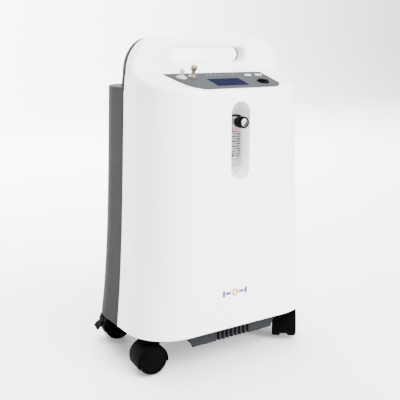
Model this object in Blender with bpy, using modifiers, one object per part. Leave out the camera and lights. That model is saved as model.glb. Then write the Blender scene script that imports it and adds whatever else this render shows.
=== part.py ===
"""Five-litre oxygen concentrator on four swivel casters.

Metres, +Z up, front towards -Y. Everything is laid out around the plane where the two shells
meet (y = 0) and the machine's mid-plane (x = 0), standing on the floor (z = 0). One empty then
carries it all, so that the origin is under the middle of the whole machine's bounding box.
"""
import math
from math import cos, pi, radians, sin, sqrt, tan

import bmesh
import bpy
from mathutils import Matrix, Vector

# ---------------------------------------------------------------- driving dimensions
ORIGIN_SHIFT = (0.0, 0.0, -0.004)  # from the shells' own frame to the floor under the bounding box

GAP = 0.0003  # running and fitting clearance
WALL = 0.003  # moulded wall
SEAM = 0.0002  # half the gap between the two shells

TOP_Z = 0.5865  # top of the handle
SHELL_Z = 0.0708  # bottom edge of both shells
SHOULDER_Z = 0.5025  # flat top of the rear shell
HALF_WIDTH = 0.1625  # at the shoulder
FLARE = (0.0165, 0.0083)  # widening to the bottom: even part, late part
FRONT_DEPTH = 0.1193
FRONT_FLARE = 0.0011
FRONT_CORNER = 0.080
REAR_DEPTH = 0.1210
REAR_FLARE = 0.0070
REAR_CORNER = 0.080

HANDLE_DEPTH = 0.020  # white half of the handle, front face to joint
HANDLE_REAR = 0.010  # grey half of the handle
WEB_REAR = 0.0036  # back of the web that closes the handle from behind
ARCH_START_Z = 0.5255
ARCH_HALF = 0.1590  # handle's half-width where the arch starts
ARCH_RUN = 0.049  # sideways size of the arch's quarter-ellipses
SLOT_HALF = 0.0830
SLOT_Z = 0.5560
SLOT_RADIUS = 0.0138

DECK_TILT = radians(15.4)
DECK_REAR = (-0.033, 0.5255)  # y, z of a point on the deck plane, near the handle
DECK_NOSE = 0.010  # rounding from the deck into the front face
DECK_COVE = 0.008  # fillet from the deck up into the handle
FLARE_HEIGHTS = (0.10, 0.13, 0.17, 0.23, 0.31, 0.40)  # where the shells' sections lie
ARCH_STEPS = 7

# where things sit on the deck: x, and y measured level
OXYGEN_AT = (-0.0606, -0.0600)
NEBULISER_AT = (-0.0830, -0.0600)
BUTTONS_AT = {"button_left": (0.0587, -0.0582), "button_right": (0.0822, -0.0586)}
BUTTON_HALF = (0.0072, 0.0042)
ROCKER_AT = (0.0665, -0.0932)
ROCKER_REST = radians(-8)
PADDLE_TOP = 0.0068
LCD_AT = (-0.0056, -0.0890)
LCD_SIZE = (0.066, 0.0360)
PANEL_T = 0.0012

RECESS_Z = (0.3425, 0.4800)
RECESS_HALF = 0.0195
RECESS_DEPTH = 0.034
METER_FRONT = 0.0193  # flowmeter's face behind the front face
METER_HALF = 0.014
METER_Z = (0.3640, 0.4545)
KNOB_Z = 0.4445
KNOB_R = 0.0102
BALL_Z = 0.3845
BALL_R = 0.0032
FACE = -FRONT_DEPTH
METER_Y = FACE + METER_FRONT
TUB_BACK = FACE + RECESS_DEPTH

# on the back: x, z of each fitting's middle
FILTER_AT = (0.0, 0.345)
FILTER_HALF = (0.052, 0.066)
LOUVRES = 9
INLET_AT = (-0.034, 0.135)
BREAKER_AT = (0.030, 0.135)

TRAY_Z = 0.0415  # underside of the tray
TRAY_FRONT = 0.103
TRAY_BACK = 0.108
TRAY_SIDE = 0.140
TRAY_HOLLOWS = (0.0680, 0.0640)  # clearance round a front and a rear caster
FLOOR_Z = SHELL_Z + 0.0025  # top of the tray's plate
SHELF_Z = 0.1900  # shelf over the compressor
VENTS = 8
VENT_PITCH = 0.0095
VENT_HALF = 0.0025
WHEEL_R = 0.0262
WHEEL_W = 0.0165
WHEEL_HALF_GAUGE = 0.0150  # from the caster's middle to a wheel's middle
TRAIL = 0.010
CASTER_Z = 0.004  # height of the floor in the shells' own frame
HOOD_R = 0.0288
AXLE_R = 0.0030
STEM_R = 0.0045
LEVER_TILT = radians(-48)
CASTERS = {  # pivot x, y and the way that the wheels trail
    "front_left": ((-0.1500, -0.0690), (-0.993, 0.117)),
    "front_right": ((0.1500, -0.0690), (-0.610, -0.792)),
    "rear_left": ((-0.1300, 0.1030), (-0.977, 0.212)),
    "rear_right": ((0.1300, 0.1030), (0.60, -0.80)),
}

# ---------------------------------------------------------------- scene, collections, materials
for old in list(bpy.data.objects):
    bpy.data.objects.remove(old, do_unlink=True)

scene = bpy.context.scene
parts = bpy.data.collections.new("oxygen_concentrator")
cutters = bpy.data.collections.new("cutters")
scene.collection.children.link(parts)
scene.collection.children.link(cutters)

stand = bpy.data.objects.new("machine_origin", None)
stand.location = ORIGIN_SHIFT
parts.objects.link(stand)

MATERIALS = {  # colour, roughness, metallic
    "white_shell": ((0.88, 0.89, 0.885), 0.38, 0.0),
    "grey_shell": ((0.115, 0.118, 0.12), 0.5, 0.0),
    "panel_grey": ((0.24, 0.26, 0.265), 0.45, 0.0),
    "lcd_blue": ((0.05, 0.052, 0.17), 0.15, 0.0),
    "tray_grey": ((0.075, 0.08, 0.088), 0.55, 0.0),
    "black_plastic": ((0.012, 0.012, 0.013), 0.45, 0.0),
    "tread_rubber": ((0.02, 0.02, 0.02), 0.75, 0.0),
    "nickel": ((0.66, 0.62, 0.52), 0.25, 1.0),
    "clear_plastic": ((0.85, 0.87, 0.87), 0.1, 0.0),
    "steel": ((0.55, 0.56, 0.57), 0.35, 1.0),
    "aluminium": ((0.70, 0.71, 0.72), 0.4, 1.0),
    "copper": ((0.60, 0.30, 0.18), 0.3, 1.0),
    "board_green": ((0.02, 0.14, 0.07), 0.5, 0.0),
    "foam": ((0.03, 0.03, 0.032), 0.95, 0.0),
    "silicone": ((0.70, 0.72, 0.72), 0.5, 0.0),
}


def material(name):
    """The named Principled material, made once."""
    found = bpy.data.materials.get(name)
    if found:
        return found
    colour, roughness, metallic = MATERIALS[name]
    made = bpy.data.materials.new(name)
    made.use_nodes = True
    shader = made.node_tree.nodes["Principled BSDF"]
    shader.inputs["Base Color"].default_value = (*colour, 1.0)
    shader.inputs["Roughness"].default_value = roughness
    shader.inputs["Metallic"].default_value = metallic
    return made


# ---------------------------------------------------------------- building blocks
def from_bmesh(name, bm, smooth=True):
    """An object in the cutters' collection from a finished bmesh."""
    bmesh.ops.recalc_face_normals(bm, faces=bm.faces)
    mesh = bpy.data.meshes.new(name)
    bm.to_mesh(mesh)
    bm.free()
    if smooth:
        mesh.shade_smooth()
        mesh.set_sharp_from_angle(angle=radians(35))
    made = bpy.data.objects.new(name, mesh)
    cutters.objects.link(made)
    made.hide_render = True
    made.display_type = "WIRE"
    made.parent = stand
    return made


def node(made, name, mat):
    """Turns a built object into the part's node of this name."""
    made.name = name
    made.data.name = name
    cutters.objects.unlink(made)
    parts.objects.link(made)
    made.hide_render = False
    made.display_type = "TEXTURED"
    made.data.materials.clear()
    made.data.materials.append(material(mat))
    return made


def box(name, low, high, round_edge=0.0):
    """A box between two corners, its edges rounded when asked."""
    bm = bmesh.new()
    size = [h - l for l, h in zip(low, high)]
    middle = [(l + h) / 2 for l, h in zip(low, high)]
    bmesh.ops.create_cube(bm, size=1.0)
    bmesh.ops.scale(bm, vec=size, verts=bm.verts)
    bmesh.ops.translate(bm, vec=middle, verts=bm.verts)
    made = from_bmesh(name, bm, smooth=False)
    if round_edge:
        bevel(made, round_edge)
    return made


def bevel(made, width, segments=1):
    """Rounds every sharp edge."""
    rounding = made.modifiers.new("Rounding", "BEVEL")
    rounding.width = width
    rounding.segments = segments
    rounding.limit_method = "ANGLE"
    rounding.angle_limit = radians(40)


def rod(name, start, end, radius, steps=24, far_radius=None):
    """A capped cylinder or cone between two points."""
    start, end = Vector(start), Vector(end)
    along = end - start
    bm = bmesh.new()
    bmesh.ops.create_cone(
        bm,
        cap_ends=True,
        segments=steps,
        radius1=radius,
        radius2=radius if far_radius is None else far_radius,
        depth=along.length,
        matrix=Matrix.Translation((0, 0, along.length / 2)),
    )
    turn = along.to_track_quat("Z", "Y").to_matrix().to_4x4()
    bmesh.ops.transform(bm, matrix=Matrix.Translation(start) @ turn, verts=bm.verts)
    return from_bmesh(name, bm)


def turned(name, profile, steps=32):
    """A closed profile of (radius, height), outer side top to bottom, turned about local Z."""
    bm = bmesh.new()
    points = [bm.verts.new((r, 0, h)) for r, h in profile]
    on_axis = profile[0][0] < 1e-6 and profile[-1][0] < 1e-6
    for first, second in zip(points, points[1:]):
        bm.edges.new((first, second))
    if not on_axis:
        bm.edges.new((points[-1], points[0]))
    mesh = bpy.data.meshes.new(name)
    bm.to_mesh(mesh)
    bm.free()
    made = bpy.data.objects.new(name, mesh)
    cutters.objects.link(made)
    made.hide_render = True
    made.display_type = "WIRE"
    made.parent = stand
    turning = made.modifiers.new("Turning", "SCREW")
    turning.steps = steps
    turning.render_steps = steps
    turning.use_merge_vertices = True
    turning.merge_threshold = 0.00002
    turning.use_smooth_shade = True
    return made


def place(made, location=(0, 0, 0), rotation=None, parent=None):
    """Moves an object, with the solids it is cut by, to its place under its parent."""
    move = Matrix.Translation(location)
    if rotation is not None:
        move = move @ rotation.to_matrix().to_4x4()
    tools = [step.object for step in made.modifiers if step.type == "BOOLEAN"]
    for piece in [made, *tools]:
        if parent is not None:
            piece.parent = parent
        piece.matrix_basis = move @ piece.matrix_basis
    return made


def extruded(name, outline, low, high, axis="Z"):
    """A flat outline, drawn in the two other axes, made solid from low to high along an axis."""
    lift = {
        "X": lambda u, v, w: (w, u, v),
        "Y": lambda u, v, w: (u, w, v),
        "Z": lambda u, v, w: (u, v, w),
    }[axis]
    bm = bmesh.new()
    face = bm.faces.new([bm.verts.new(lift(u, v, low)) for u, v in outline])
    grown = bmesh.ops.extrude_face_region(bm, geom=[face])["geom"]
    top = [v for v in grown if isinstance(v, bmesh.types.BMVert)]
    push = Vector(lift(0, 0, 1)) - Vector(lift(0, 0, 0))
    bmesh.ops.translate(bm, vec=push * (high - low), verts=top)
    return from_bmesh(name, bm)


def loft(name, sections):
    """A closed solid through sections with equal numbers of points, capped at both ends."""
    bm = bmesh.new()
    rings = [[bm.verts.new(p) for p in section] for section in sections]
    count = len(rings[0])
    for lower, upper in zip(rings, rings[1:]):
        for i in range(count):
            j = (i + 1) % count
            bm.faces.new((lower[i], lower[j], upper[j], upper[i]))
    bm.faces.new(rings[0])
    bm.faces.new(rings[-1])
    return from_bmesh(name, bm)


def tube(name, points, radius, sides_level=1):
    """A round tube through the points, as a mesh with welded caps."""
    curve = bpy.data.curves.new(name, "CURVE")
    curve.dimensions = "3D"
    curve.bevel_depth = radius
    curve.bevel_resolution = sides_level
    curve.use_fill_caps = True
    spline = curve.splines.new("POLY")
    spline.points.add(len(points) - 1)
    for slot, point in zip(spline.points, points):
        slot.co = (*point, 1.0)
    holder = bpy.data.objects.new(name + "_curve", curve)
    scene.collection.objects.link(holder)
    bpy.context.view_layer.update()
    mesh = bpy.data.meshes.new_from_object(holder.evaluated_get(bpy.context.evaluated_depsgraph_get()))
    bpy.data.objects.remove(holder, do_unlink=True)
    bm = bmesh.new()
    bm.from_mesh(mesh)
    bmesh.ops.remove_doubles(bm, verts=bm.verts, dist=0.00001)
    bpy.data.meshes.remove(mesh)
    return from_bmesh(name, bm)


def boolean(made, tool, operation="DIFFERENCE"):
    """Adds a Boolean of another object to this one."""
    cut = made.modifiers.new(operation.title(), "BOOLEAN")
    cut.operation = operation
    cut.solver = "EXACT"
    cut.object = tool
    return made


def union(made, *others):
    """Joins other solids to this one."""
    for other in others:
        boolean(made, other, "UNION")
    return made


def cut(made, *others):
    """Cuts other solids out of this one."""
    for other in others:
        boolean(made, other)
    return made


def stadium(half_length, radius, steps=10):
    """A slot outline along the first axis, centred on the origin."""
    points = []
    for side, start in ((1, -pi / 2), (-1, pi / 2)):
        for i in range(steps + 1):
            angle = start + pi * i / steps
            points.append((side * (half_length - radius) + radius * cos(angle), radius * sin(angle)))
    return points


def moved(outline, du, dv):
    """The outline shifted in its own plane."""
    return [(u + du, v + dv) for u, v in outline]


# ---------------------------------------------------------------- the shells' shape
def drop(z):
    """0 at the shoulder, 1 near the bottom edge."""
    return max(0.0, (SHOULDER_Z - z) / 0.43)


def half_width(z, inset=0.0):
    """Half the machine's width at the joint between the shells, moved in by inset."""
    if z <= SHOULDER_Z:
        return HALF_WIDTH - inset + FLARE[0] * drop(z) + FLARE[1] * drop(z) ** 4
    if z <= ARCH_START_Z:
        share = (z - SHOULDER_Z) / (ARCH_START_Z - SHOULDER_Z)
        return HALF_WIDTH - inset + (ARCH_HALF - HALF_WIDTH) * share
    rise = min(1.0, (z - ARCH_START_Z) / (TOP_Z - inset - ARCH_START_Z))
    return ARCH_HALF - ARCH_RUN + (ARCH_RUN - inset) * sqrt(1 - rise**2)


def front_depth(z):
    return FRONT_DEPTH + FRONT_FLARE * drop(z) ** 3


def rear_depth(z):
    return REAR_DEPTH + REAR_FLARE * drop(z) ** 4


def arc(centre, radius, start, end, steps):
    """Points of an arc in degrees, both ends included."""
    angles = [radians(start + (end - start) * i / steps) for i in range(steps + 1)]
    return [(centre[0] + radius * cos(a), centre[1] + radius * sin(a)) for a in angles]


def side_profile(inset):
    """The front shell's (y, z) side line: up the front face, over the deck, up the handle."""
    tilt = math.degrees(DECK_TILT)
    half_turn = tan(radians(90 - tilt) / 2)
    face = -(front_depth(SHOULDER_Z) - inset)
    nose_r, cove_r = DECK_NOSE - inset, DECK_COVE + inset
    lift = inset / cos(DECK_TILT)
    nose_z = DECK_REAR[1] - lift + (face - DECK_REAR[0]) * tan(DECK_TILT)
    nose = arc((face + nose_r, nose_z - nose_r * half_turn), nose_r, 180, 90 + tilt, 4)
    hand = -(HANDLE_DEPTH - inset)
    knee = (hand, DECK_REAR[1] - lift + (hand - DECK_REAR[0]) * tan(DECK_TILT))
    back = cove_r * half_turn
    start = (knee[0] - back * cos(DECK_TILT), knee[1] - back * sin(DECK_TILT))
    centre = (start[0] - cove_r * sin(DECK_TILT), start[1] + cove_r * cos(DECK_TILT))
    cove = arc(centre, cove_r, tilt - 90, 0, 3)
    return nose + cove


def plan_section(z, width, depth, corner, joint_y, clip_y, side=-1, steps=7):
    """One shell's plan outline at height z, its front or rear limited to clip_y."""
    centre_x, centre_y = width - corner, side * (depth - corner)
    points = [(-width, joint_y)]
    for i in range(steps + 1):
        angle = pi / 2 * i / steps
        points.append((-centre_x - corner * cos(angle), centre_y + side * corner * sin(angle)))
    points += [(-x, y) for x, y in reversed(points)]
    if clip_y is not None:
        points = [(x, max(y, clip_y)) for x, y in points]
    return [(x, y, z) for x, y in points]


def front_sections(inset, bottom, joint_y):
    """Sections of the front shell's outside (inset 0) or of the space in it."""
    levels = [(z, -(front_depth(z) - inset)) for z in (bottom, *FLARE_HEIGHTS)]
    levels += [(z, y) for y, z in side_profile(inset)]
    top = TOP_Z - inset
    base = levels[-1][0]
    hand = -(HANDLE_DEPTH - inset)
    for i in range(1, ARCH_STEPS + 1):
        share = sin(pi / 2 * i / ARCH_STEPS)
        levels.append((base + (top - base) * share, hand))
    sections = []
    for z, clip in levels:
        width, depth = half_width(z, inset), front_depth(z) - inset
        sections.append(plan_section(z, width, depth, FRONT_CORNER - inset, joint_y, clip))
    return sections


def rear_sections(inset, bottom, top, joint_y):
    """Sections of the rear shell's box."""
    sections = []
    for z in (bottom, *FLARE_HEIGHTS, top):
        width, depth = half_width(z, inset), rear_depth(z) - inset
        corner = REAR_CORNER - inset
        sections.append(plan_section(z, width, depth, corner, joint_y, None, side=1))
    return sections


def arch_outline(inset, bottom):
    """The handle's (x, z) outline, moved in by inset and closed at a bottom height."""
    rise = TOP_Z - inset - ARCH_START_Z
    heights = [ARCH_START_Z + rise * sin(pi / 2 * i / ARCH_STEPS) for i in range(ARCH_STEPS + 1)]
    right = [(half_width(z, inset), z) for z in (bottom, *heights)]
    return right + [(-x, z) for x, z in reversed(right)]


def deck_empty(x, y):
    """An empty on the deck plane, its Z square to the deck."""
    made = bpy.data.objects.new("deck_spot", None)
    parts.objects.link(made)
    made.parent = stand
    z = DECK_REAR[1] + (y - DECK_REAR[0]) * tan(DECK_TILT)
    made.location = (x, y, z)
    made.rotation_euler = (DECK_TILT, 0, 0)
    return made


on_deck = {
    "oxygen": deck_empty(*OXYGEN_AT),
    "nebuliser": deck_empty(*NEBULISER_AT),
    "button_left": deck_empty(*BUTTONS_AT["button_left"]),
    "button_right": deck_empty(*BUTTONS_AT["button_right"]),
    "rocker": deck_empty(*ROCKER_AT),
    "lcd": deck_empty(*LCD_AT),
}


# ---------------------------------------------------------------- shells
def deck_holes(tag, low, high):
    """Cutters for what passes through the deck, from low to high along its normal."""
    holes = []
    for key, radius in (("oxygen", 0.0045), ("nebuliser", 0.0045), ("rocker", 0.0101)):
        hole = rod(f"{tag}_{key}_hole", (0, 0, low), (0, 0, high), radius)
        holes.append(place(hole, parent=on_deck[key]))
    for key in BUTTONS_AT:
        outline = stadium(BUTTON_HALF[0] + GAP, BUTTON_HALF[1] + GAP, 6)
        hole = extruded(f"{tag}_{key}_hole", outline, low, high)
        holes.append(place(hole, parent=on_deck[key]))
    return holes


def build_front_cover():
    cover = loft("front_cover", front_sections(0.0, SHELL_Z, -SEAM))
    space = loft("front_space", front_sections(WALL, SHELL_Z - 0.01, 0.002))
    lip = moved(stadium(SLOT_HALF + WALL, SLOT_RADIUS + WALL), 0, SLOT_Z)
    cut(space, extruded("slot_lip", lip, -0.05, -SEAM, "Y"))
    hand_hole = moved(stadium(SLOT_HALF, SLOT_RADIUS), 0, SLOT_Z)
    slot = extruded("handle_slot_cut", hand_hole, -0.05, 0.03, "Y")
    recess_z = (RECESS_Z[0] + RECESS_Z[1]) / 2
    tall = [(v, u) for u, v in stadium((RECESS_Z[1] - RECESS_Z[0]) / 2, RECESS_HALF)]
    window = extruded("recess_cut", moved(tall, 0, recess_z), -0.13, -0.09, "Y")
    cut(cover, space, slot, window, *deck_holes("cover", -0.012, 0.006))
    return node(cover, "front_cover", "white_shell"), slot


def build_rear_cover(slot):
    cover = loft("rear_cover", rear_sections(0.0, SHELL_Z, SHOULDER_Z, SEAM))
    space = loft("rear_space", rear_sections(WALL, SHELL_Z - 0.01, SHOULDER_Z - WALL, -0.002))
    cut(cover, space)
    grip = extruded("grip", arch_outline(0.0, SHOULDER_Z - WALL + 0.0005), SEAM, HANDLE_REAR, "Y")
    cut(grip, extruded("grip_hollow", arch_outline(0.006, SHOULDER_Z), WEB_REAR, 0.03, "Y"))
    union(cover, grip)
    wide, tall = FILTER_HALF
    window = box(
        "filter_window",
        (FILTER_AT[0] - wide, 0.10, FILTER_AT[1] - tall),
        (FILTER_AT[0] + wide, 0.14, FILTER_AT[1] + tall),
    )
    inlet = box("inlet_cut", (INLET_AT[0] - 0.0140, 0.10, INLET_AT[1] - 0.0105),
                (INLET_AT[0] + 0.0140, 0.15, INLET_AT[1] + 0.0105))
    breaker = rod("breaker_cut", (BREAKER_AT[0], 0.10, BREAKER_AT[1]),
                  (BREAKER_AT[0], 0.15, BREAKER_AT[1]), 0.0063)
    cut(cover, slot, window, inlet, breaker)
    return node(cover, "rear_cover", "grey_shell")


def tray_outline(inset=0.0):
    """The sump's plan: straight front and back, hollowed round the four casters."""
    (px, py), _ = CASTERS["front_right"]
    (qx, qy), _ = CASTERS["rear_right"]
    front, back = -TRAY_FRONT + inset, TRAY_BACK - inset
    big, small = (hollow + inset for hollow in TRAY_HOLLOWS)
    side = TRAY_SIDE - inset
    leave = 180 - math.degrees(math.asin((front - py) / big))
    reach = math.degrees(math.acos((side - px) / big))
    points = arc((px, py), big, leave, reach, 9)
    enter = -math.degrees(math.acos((side - qx) / small))
    end = -180 - math.degrees(math.asin((back - qy) / small))
    points += arc((qx, qy), small, enter, end, 8)
    return points + [(-x, y) for x, y in reversed(points)]


def build_base_tray():
    plate_low, plate_high = SHELL_Z - 0.003, SHELL_Z + 0.0025
    outline = [(x, y) for x, y, _ in plan_section(
        0, half_width(SHELL_Z) - WALL - 0.0005, front_depth(SHELL_Z) - WALL - 0.0005,
        FRONT_CORNER - WALL, 0.0, None)]
    rear = [(x, y) for x, y, _ in plan_section(
        0, half_width(SHELL_Z) - WALL - 0.0005, rear_depth(SHELL_Z) - WALL - 0.0005,
        REAR_CORNER - WALL, 0.0, None, side=1)]
    tray = extruded("base_tray", outline + list(reversed(rear))[1:-1], plate_low, plate_high)
    sump = extruded("sump", tray_outline(), TRAY_Z, plate_low + 0.001)
    hollow = extruded("sump_space", tray_outline(WALL), TRAY_Z + WALL, plate_high + 0.01)
    union(tray, sump)
    cut(tray, hollow)
    for k in range(VENTS):
        x = (k - (VENTS - 1) / 2) * VENT_PITCH
        cut(tray, box(f"vent_{k}", (x - VENT_HALF, -TRAY_FRONT - 0.01, TRAY_Z - 0.01),
                      (x + VENT_HALF, -TRAY_FRONT + 0.022, plate_low - 0.004)))
    return node(tray, "base_tray", "tray_grey")


front_cover, slot_cut = build_front_cover()
rear_cover = build_rear_cover(slot_cut)
base_tray = build_base_tray()


# ---------------------------------------------------------------- control deck
def level_to_deck(y, origin_y):
    """Distance up the deck from an origin to a level y."""
    return (y - origin_y) / cos(DECK_TILT)


def panel_outline():
    """The membrane's outline on the deck, about the middle of the display."""
    corners = arc((-0.0745, -0.0940), 0.0215, 180, 270, 6) + arc((0.0765, -0.0935), 0.0220, 270, 357, 6)
    corners = [(-0.1065, -0.0375)] + corners + [(0.1000, -0.0395)]
    return [(x - LCD_AT[0], level_to_deck(y, LCD_AT[1])) for x, y in corners]


def build_deck():
    panel = extruded("control_panel", panel_outline(), GAP, GAP + PANEL_T)
    place(panel, parent=on_deck["lcd"])
    wide, tall = LCD_SIZE[0] / 2, LCD_SIZE[1] / 2
    window = box("lcd_hole", (-wide - GAP, -tall - GAP, -0.01), (wide + GAP, tall + GAP, 0.01))
    cut(panel, place(window, parent=on_deck["lcd"]))
    for key, radius in (("oxygen", 0.0086), ("nebuliser", 0.0100), ("rocker", 0.0101)):
        hole = rod(f"panel_{key}_hole", (0, 0, -0.01), (0, 0, 0.01), radius)
        cut(panel, place(hole, parent=on_deck[key]))
    for key in BUTTONS_AT:
        outline = stadium(BUTTON_HALF[0] + GAP, BUTTON_HALF[1] + GAP, 6)
        hole = extruded(f"panel_{key}_hole", outline, -0.01, 0.01)
        cut(panel, place(hole, parent=on_deck[key]))
    node(panel, "control_panel", "panel_grey")

    lcd = box("lcd_window", (-wide, -tall, GAP), (wide, tall, GAP + PANEL_T + 0.0003))
    node(place(lcd, parent=on_deck["lcd"]), "lcd_window", "lcd_blue")

    for key in BUTTONS_AT:
        cap = extruded(key, stadium(*BUTTON_HALF, 8), -0.006, 0.0028)
        bevel(cap, 0.0006)
        node(place(cap, parent=on_deck[key]), key, "white_shell")

    top = GAP + PANEL_T + GAP
    bezel = turned("rocker_bezel", [
        (0.0092, top + 0.0026), (0.0104, top + 0.0026), (0.0113, top), (0.0098, top),
        (0.0098, -0.014), (0.0004, -0.014), (0.0004, -0.0125), (0.0088, -0.0125),
        (0.0088, top + 0.0022)])
    node(place(bezel, parent=on_deck["rocker"]), "rocker_bezel", "black_plastic")

    paddle = rod("power_rocker", (0, 0, -0.0035), (0, 0, PADDLE_TOP), 0.0080, 28)
    dish_z = PADDLE_TOP + 0.0105
    hollow = rod("rocker_dish", (-0.02, 0, dish_z), (0.02, 0, dish_z), 0.0115, 32)
    cut(paddle, hollow)
    tip = Matrix.Rotation(ROCKER_REST, 4, "X").to_quaternion()
    node(place(paddle, rotation=tip, parent=on_deck["rocker"]), "power_rocker", "black_plastic")

    oxygen = turned("oxygen_outlet", [
        (0.0012, 0.0225), (0.0045, 0.0225), (0.0055, 0.0212), (0.0055, 0.0150), (0.0045, 0.0138),
        (0.0030, 0.0132), (0.0030, 0.0075), (0.0048, 0.0045), (0.0075, 0.0032), (0.0075, 0.0005),
        (0.0040, 0.0005), (0.0040, -0.0090), (0.0012, -0.0090)], 28)
    node(place(oxygen, parent=on_deck["oxygen"]), "oxygen_outlet", "nickel")

    clear = turned("nebuliser_outlet", [
        (0.0012, 0.0162), (0.0026, 0.0158), (0.0042, 0.0138), (0.0046, 0.0118), (0.0042, 0.0098),
        (0.0030, 0.0082), (0.0046, 0.0048), (0.0090, 0.0026), (0.0090, 0.0005),
        (0.0040, 0.0005), (0.0040, -0.0090), (0.0012, -0.0090)], 28)
    node(place(clear, parent=on_deck["nebuliser"]), "nebuliser_outlet", "clear_plastic")


# ---------------------------------------------------------------- flowmeter in its recess
def build_flowmeter():
    middle = (RECESS_Z[0] + RECESS_Z[1]) / 2
    tall = (RECESS_Z[1] - RECESS_Z[0]) / 2

    def upright(grow, steps=10):
        return moved([(v, u) for u, v in stadium(tall + grow, RECESS_HALF + grow, steps)], 0, middle)

    tub = extruded("recess_tub", upright(0.0022), FACE + WALL + GAP, TUB_BACK + 0.002, "Y")
    cut(tub, extruded("tub_space", upright(0.0), FACE - 0.01, TUB_BACK, "Y"))
    node(tub, "recess_tub", "white_shell")

    low, high = METER_Z
    body = box("flowmeter_body", (-METER_HALF, METER_Y, low),
               (METER_HALF, TUB_BACK - GAP, high), 0.0008)
    bore_y = (METER_Y + TUB_BACK) / 2
    cut(body, rod("float_bore", (0, bore_y, low - 0.01), (0, bore_y, KNOB_Z), 0.0042, 20))
    cut(body, rod("valve_bore", (0, METER_Y - 0.01, KNOB_Z), (0, bore_y + 0.001, KNOB_Z), 0.0046, 20))
    node(body, "flowmeter_body", "clear_plastic")
    foot = turned("meter_inlet", [
        (0.0012, 0.0), (0.0036, 0.0), (0.0036, -0.0050), (0.0060, -0.0056), (0.0060, -0.0100),
        (0.0030, -0.0112), (0.0030, -0.0140), (0.0012, -0.0140)], 20)
    node(place(foot, (0, bore_y, low + 0.0050)), "meter_inlet", "nickel")

    ball = bmesh.new()
    bmesh.ops.create_uvsphere(ball, u_segments=20, v_segments=12, radius=BALL_R)
    ball = from_bmesh("float_ball", ball)
    node(place(ball, (0, bore_y, BALL_Z)), "float_ball", "black_plastic")

    # turned pieces along -Y: local Z points out of the front
    out = Matrix.Rotation(pi / 2, 4, "X").to_quaternion()
    bonnet = turned("flow_valve_bonnet", [
        (0.0023, 0.0030), (0.0062, 0.0030), (0.0070, 0.0024), (0.0070, GAP), (0.0042, GAP),
        (0.0042, -0.0060), (0.0023, -0.0060)], 24)
    node(place(bonnet, (0, METER_Y, KNOB_Z), out), "flow_valve_bonnet", "nickel")
    stem = turned("valve_stem", [
        (0.0, 0.0180), (0.0019, 0.0180), (0.0019, -0.0062), (0.0, -0.0082)], 16)
    node(place(stem, (0, METER_Y, KNOB_Z), out), "valve_stem", "steel")
    ribs, groove = 24, KNOB_R - 0.0007
    outline = []
    for i in range(ribs):
        for share, radius in ((0.0, KNOB_R), (0.35, KNOB_R), (0.5, groove), (0.85, groove)):
            angle = 2 * pi * (i + share) / ribs
            outline.append((radius * cos(angle), radius * sin(angle)))
    knob = extruded("flow_knob", outline, 0.0150, 0.0305)
    cut(knob, rod("knob_bore", (0, 0, 0.010), (0, 0, 0.0184), 0.0022, 16))
    cut(knob, rod("knob_face", (0, 0, 0.0293), (0, 0, 0.04), 0.0078, 32))
    skirt = turned("knob_skirt", [
        (0.0024, 0.0160), (0.0075, 0.0160), (0.0075, 0.0036), (0.0024, 0.0036)], 32)
    union(knob, skirt)
    node(place(knob, (0, METER_Y, KNOB_Z), out), "flow_knob", "black_plastic")


# ---------------------------------------------------------------- back of the machine
def build_rear_fittings():
    x, z = FILTER_AT
    wide, tall = FILTER_HALF[0] - GAP, FILTER_HALF[1] - GAP
    face = rear_depth(z)
    door = box("filter_door", (x - wide, face - 0.004, z - tall), (x + wide, face + 0.0015, z + tall))
    flange = box("door_flange", (x - wide - 0.004, face + 0.0008, z - tall - 0.004),
                 (x + wide + 0.004, face + 0.0032, z + tall + 0.004))
    union(door, flange)
    for i in range(LOUVRES):
        lz = z - tall + 0.014 + i * (2 * tall - 0.028) / (LOUVRES - 1)
        cut(door, box(f"louvre_{i}", (x - wide + 0.008, face - 0.02, lz - 0.0028),
                      (x + wide - 0.008, face + 0.02, lz + 0.0028)))
    node(door, "filter_door", "grey_shell")
    foam = box("filter_foam", (x - wide + 0.002, face - 0.0135, z - tall + 0.002),
               (x + wide - 0.002, face - 0.004 - GAP, z + tall - 0.002))
    node(foam, "filter_foam", "foam")

    x, z = INLET_AT
    face = rear_depth(z)
    inlet = box("power_inlet", (x - 0.0137, face - 0.020, z - 0.0102),
                (x + 0.0137, face + 0.0020, z + 0.0102))
    plate = box("inlet_plate", (x - 0.0250, face + 0.0014, z - 0.0140),
                (x + 0.0250, face + 0.0036, z + 0.0140))
    union(inlet, plate)
    mouth = box("inlet_mouth", (x - 0.0118, face - 0.0165, z - 0.0083),
                (x + 0.0118, face + 0.01, z + 0.0083))
    cut(inlet, mouth)
    for px, pz in ((0, 0.003), (-0.007, -0.002), (0.007, -0.002)):
        pin = box("inlet_pin", (x + px - 0.001, face - 0.018, z + pz - 0.002),
                  (x + px + 0.001, face - 0.003, z + pz + 0.002))
        union(inlet, pin)
    node(inlet, "power_inlet", "black_plastic")

    x, z = BREAKER_AT
    face = rear_depth(z)
    back = Matrix.Rotation(-pi / 2, 4, "X").to_quaternion()
    breaker = turned("breaker_body", [
        (0.0035, 0.0030), (0.0080, 0.0030), (0.0085, 0.0024), (0.0085, 0.0006), (0.0060, 0.0006),
        (0.0060, -0.0220), (0.0004, -0.0220), (0.0004, -0.0200), (0.0035, -0.0200)], 24)
    node(place(breaker, (x, face, z), back), "breaker_body", "black_plastic")
    reset = turned("breaker_button", [
        (0.0, 0.0065), (0.0028, 0.0065), (0.0032, 0.0058), (0.0032, -0.0120), (0.0, -0.0120)], 20)
    node(place(reset, (x, face, z), back), "breaker_button", "white_shell")


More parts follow.
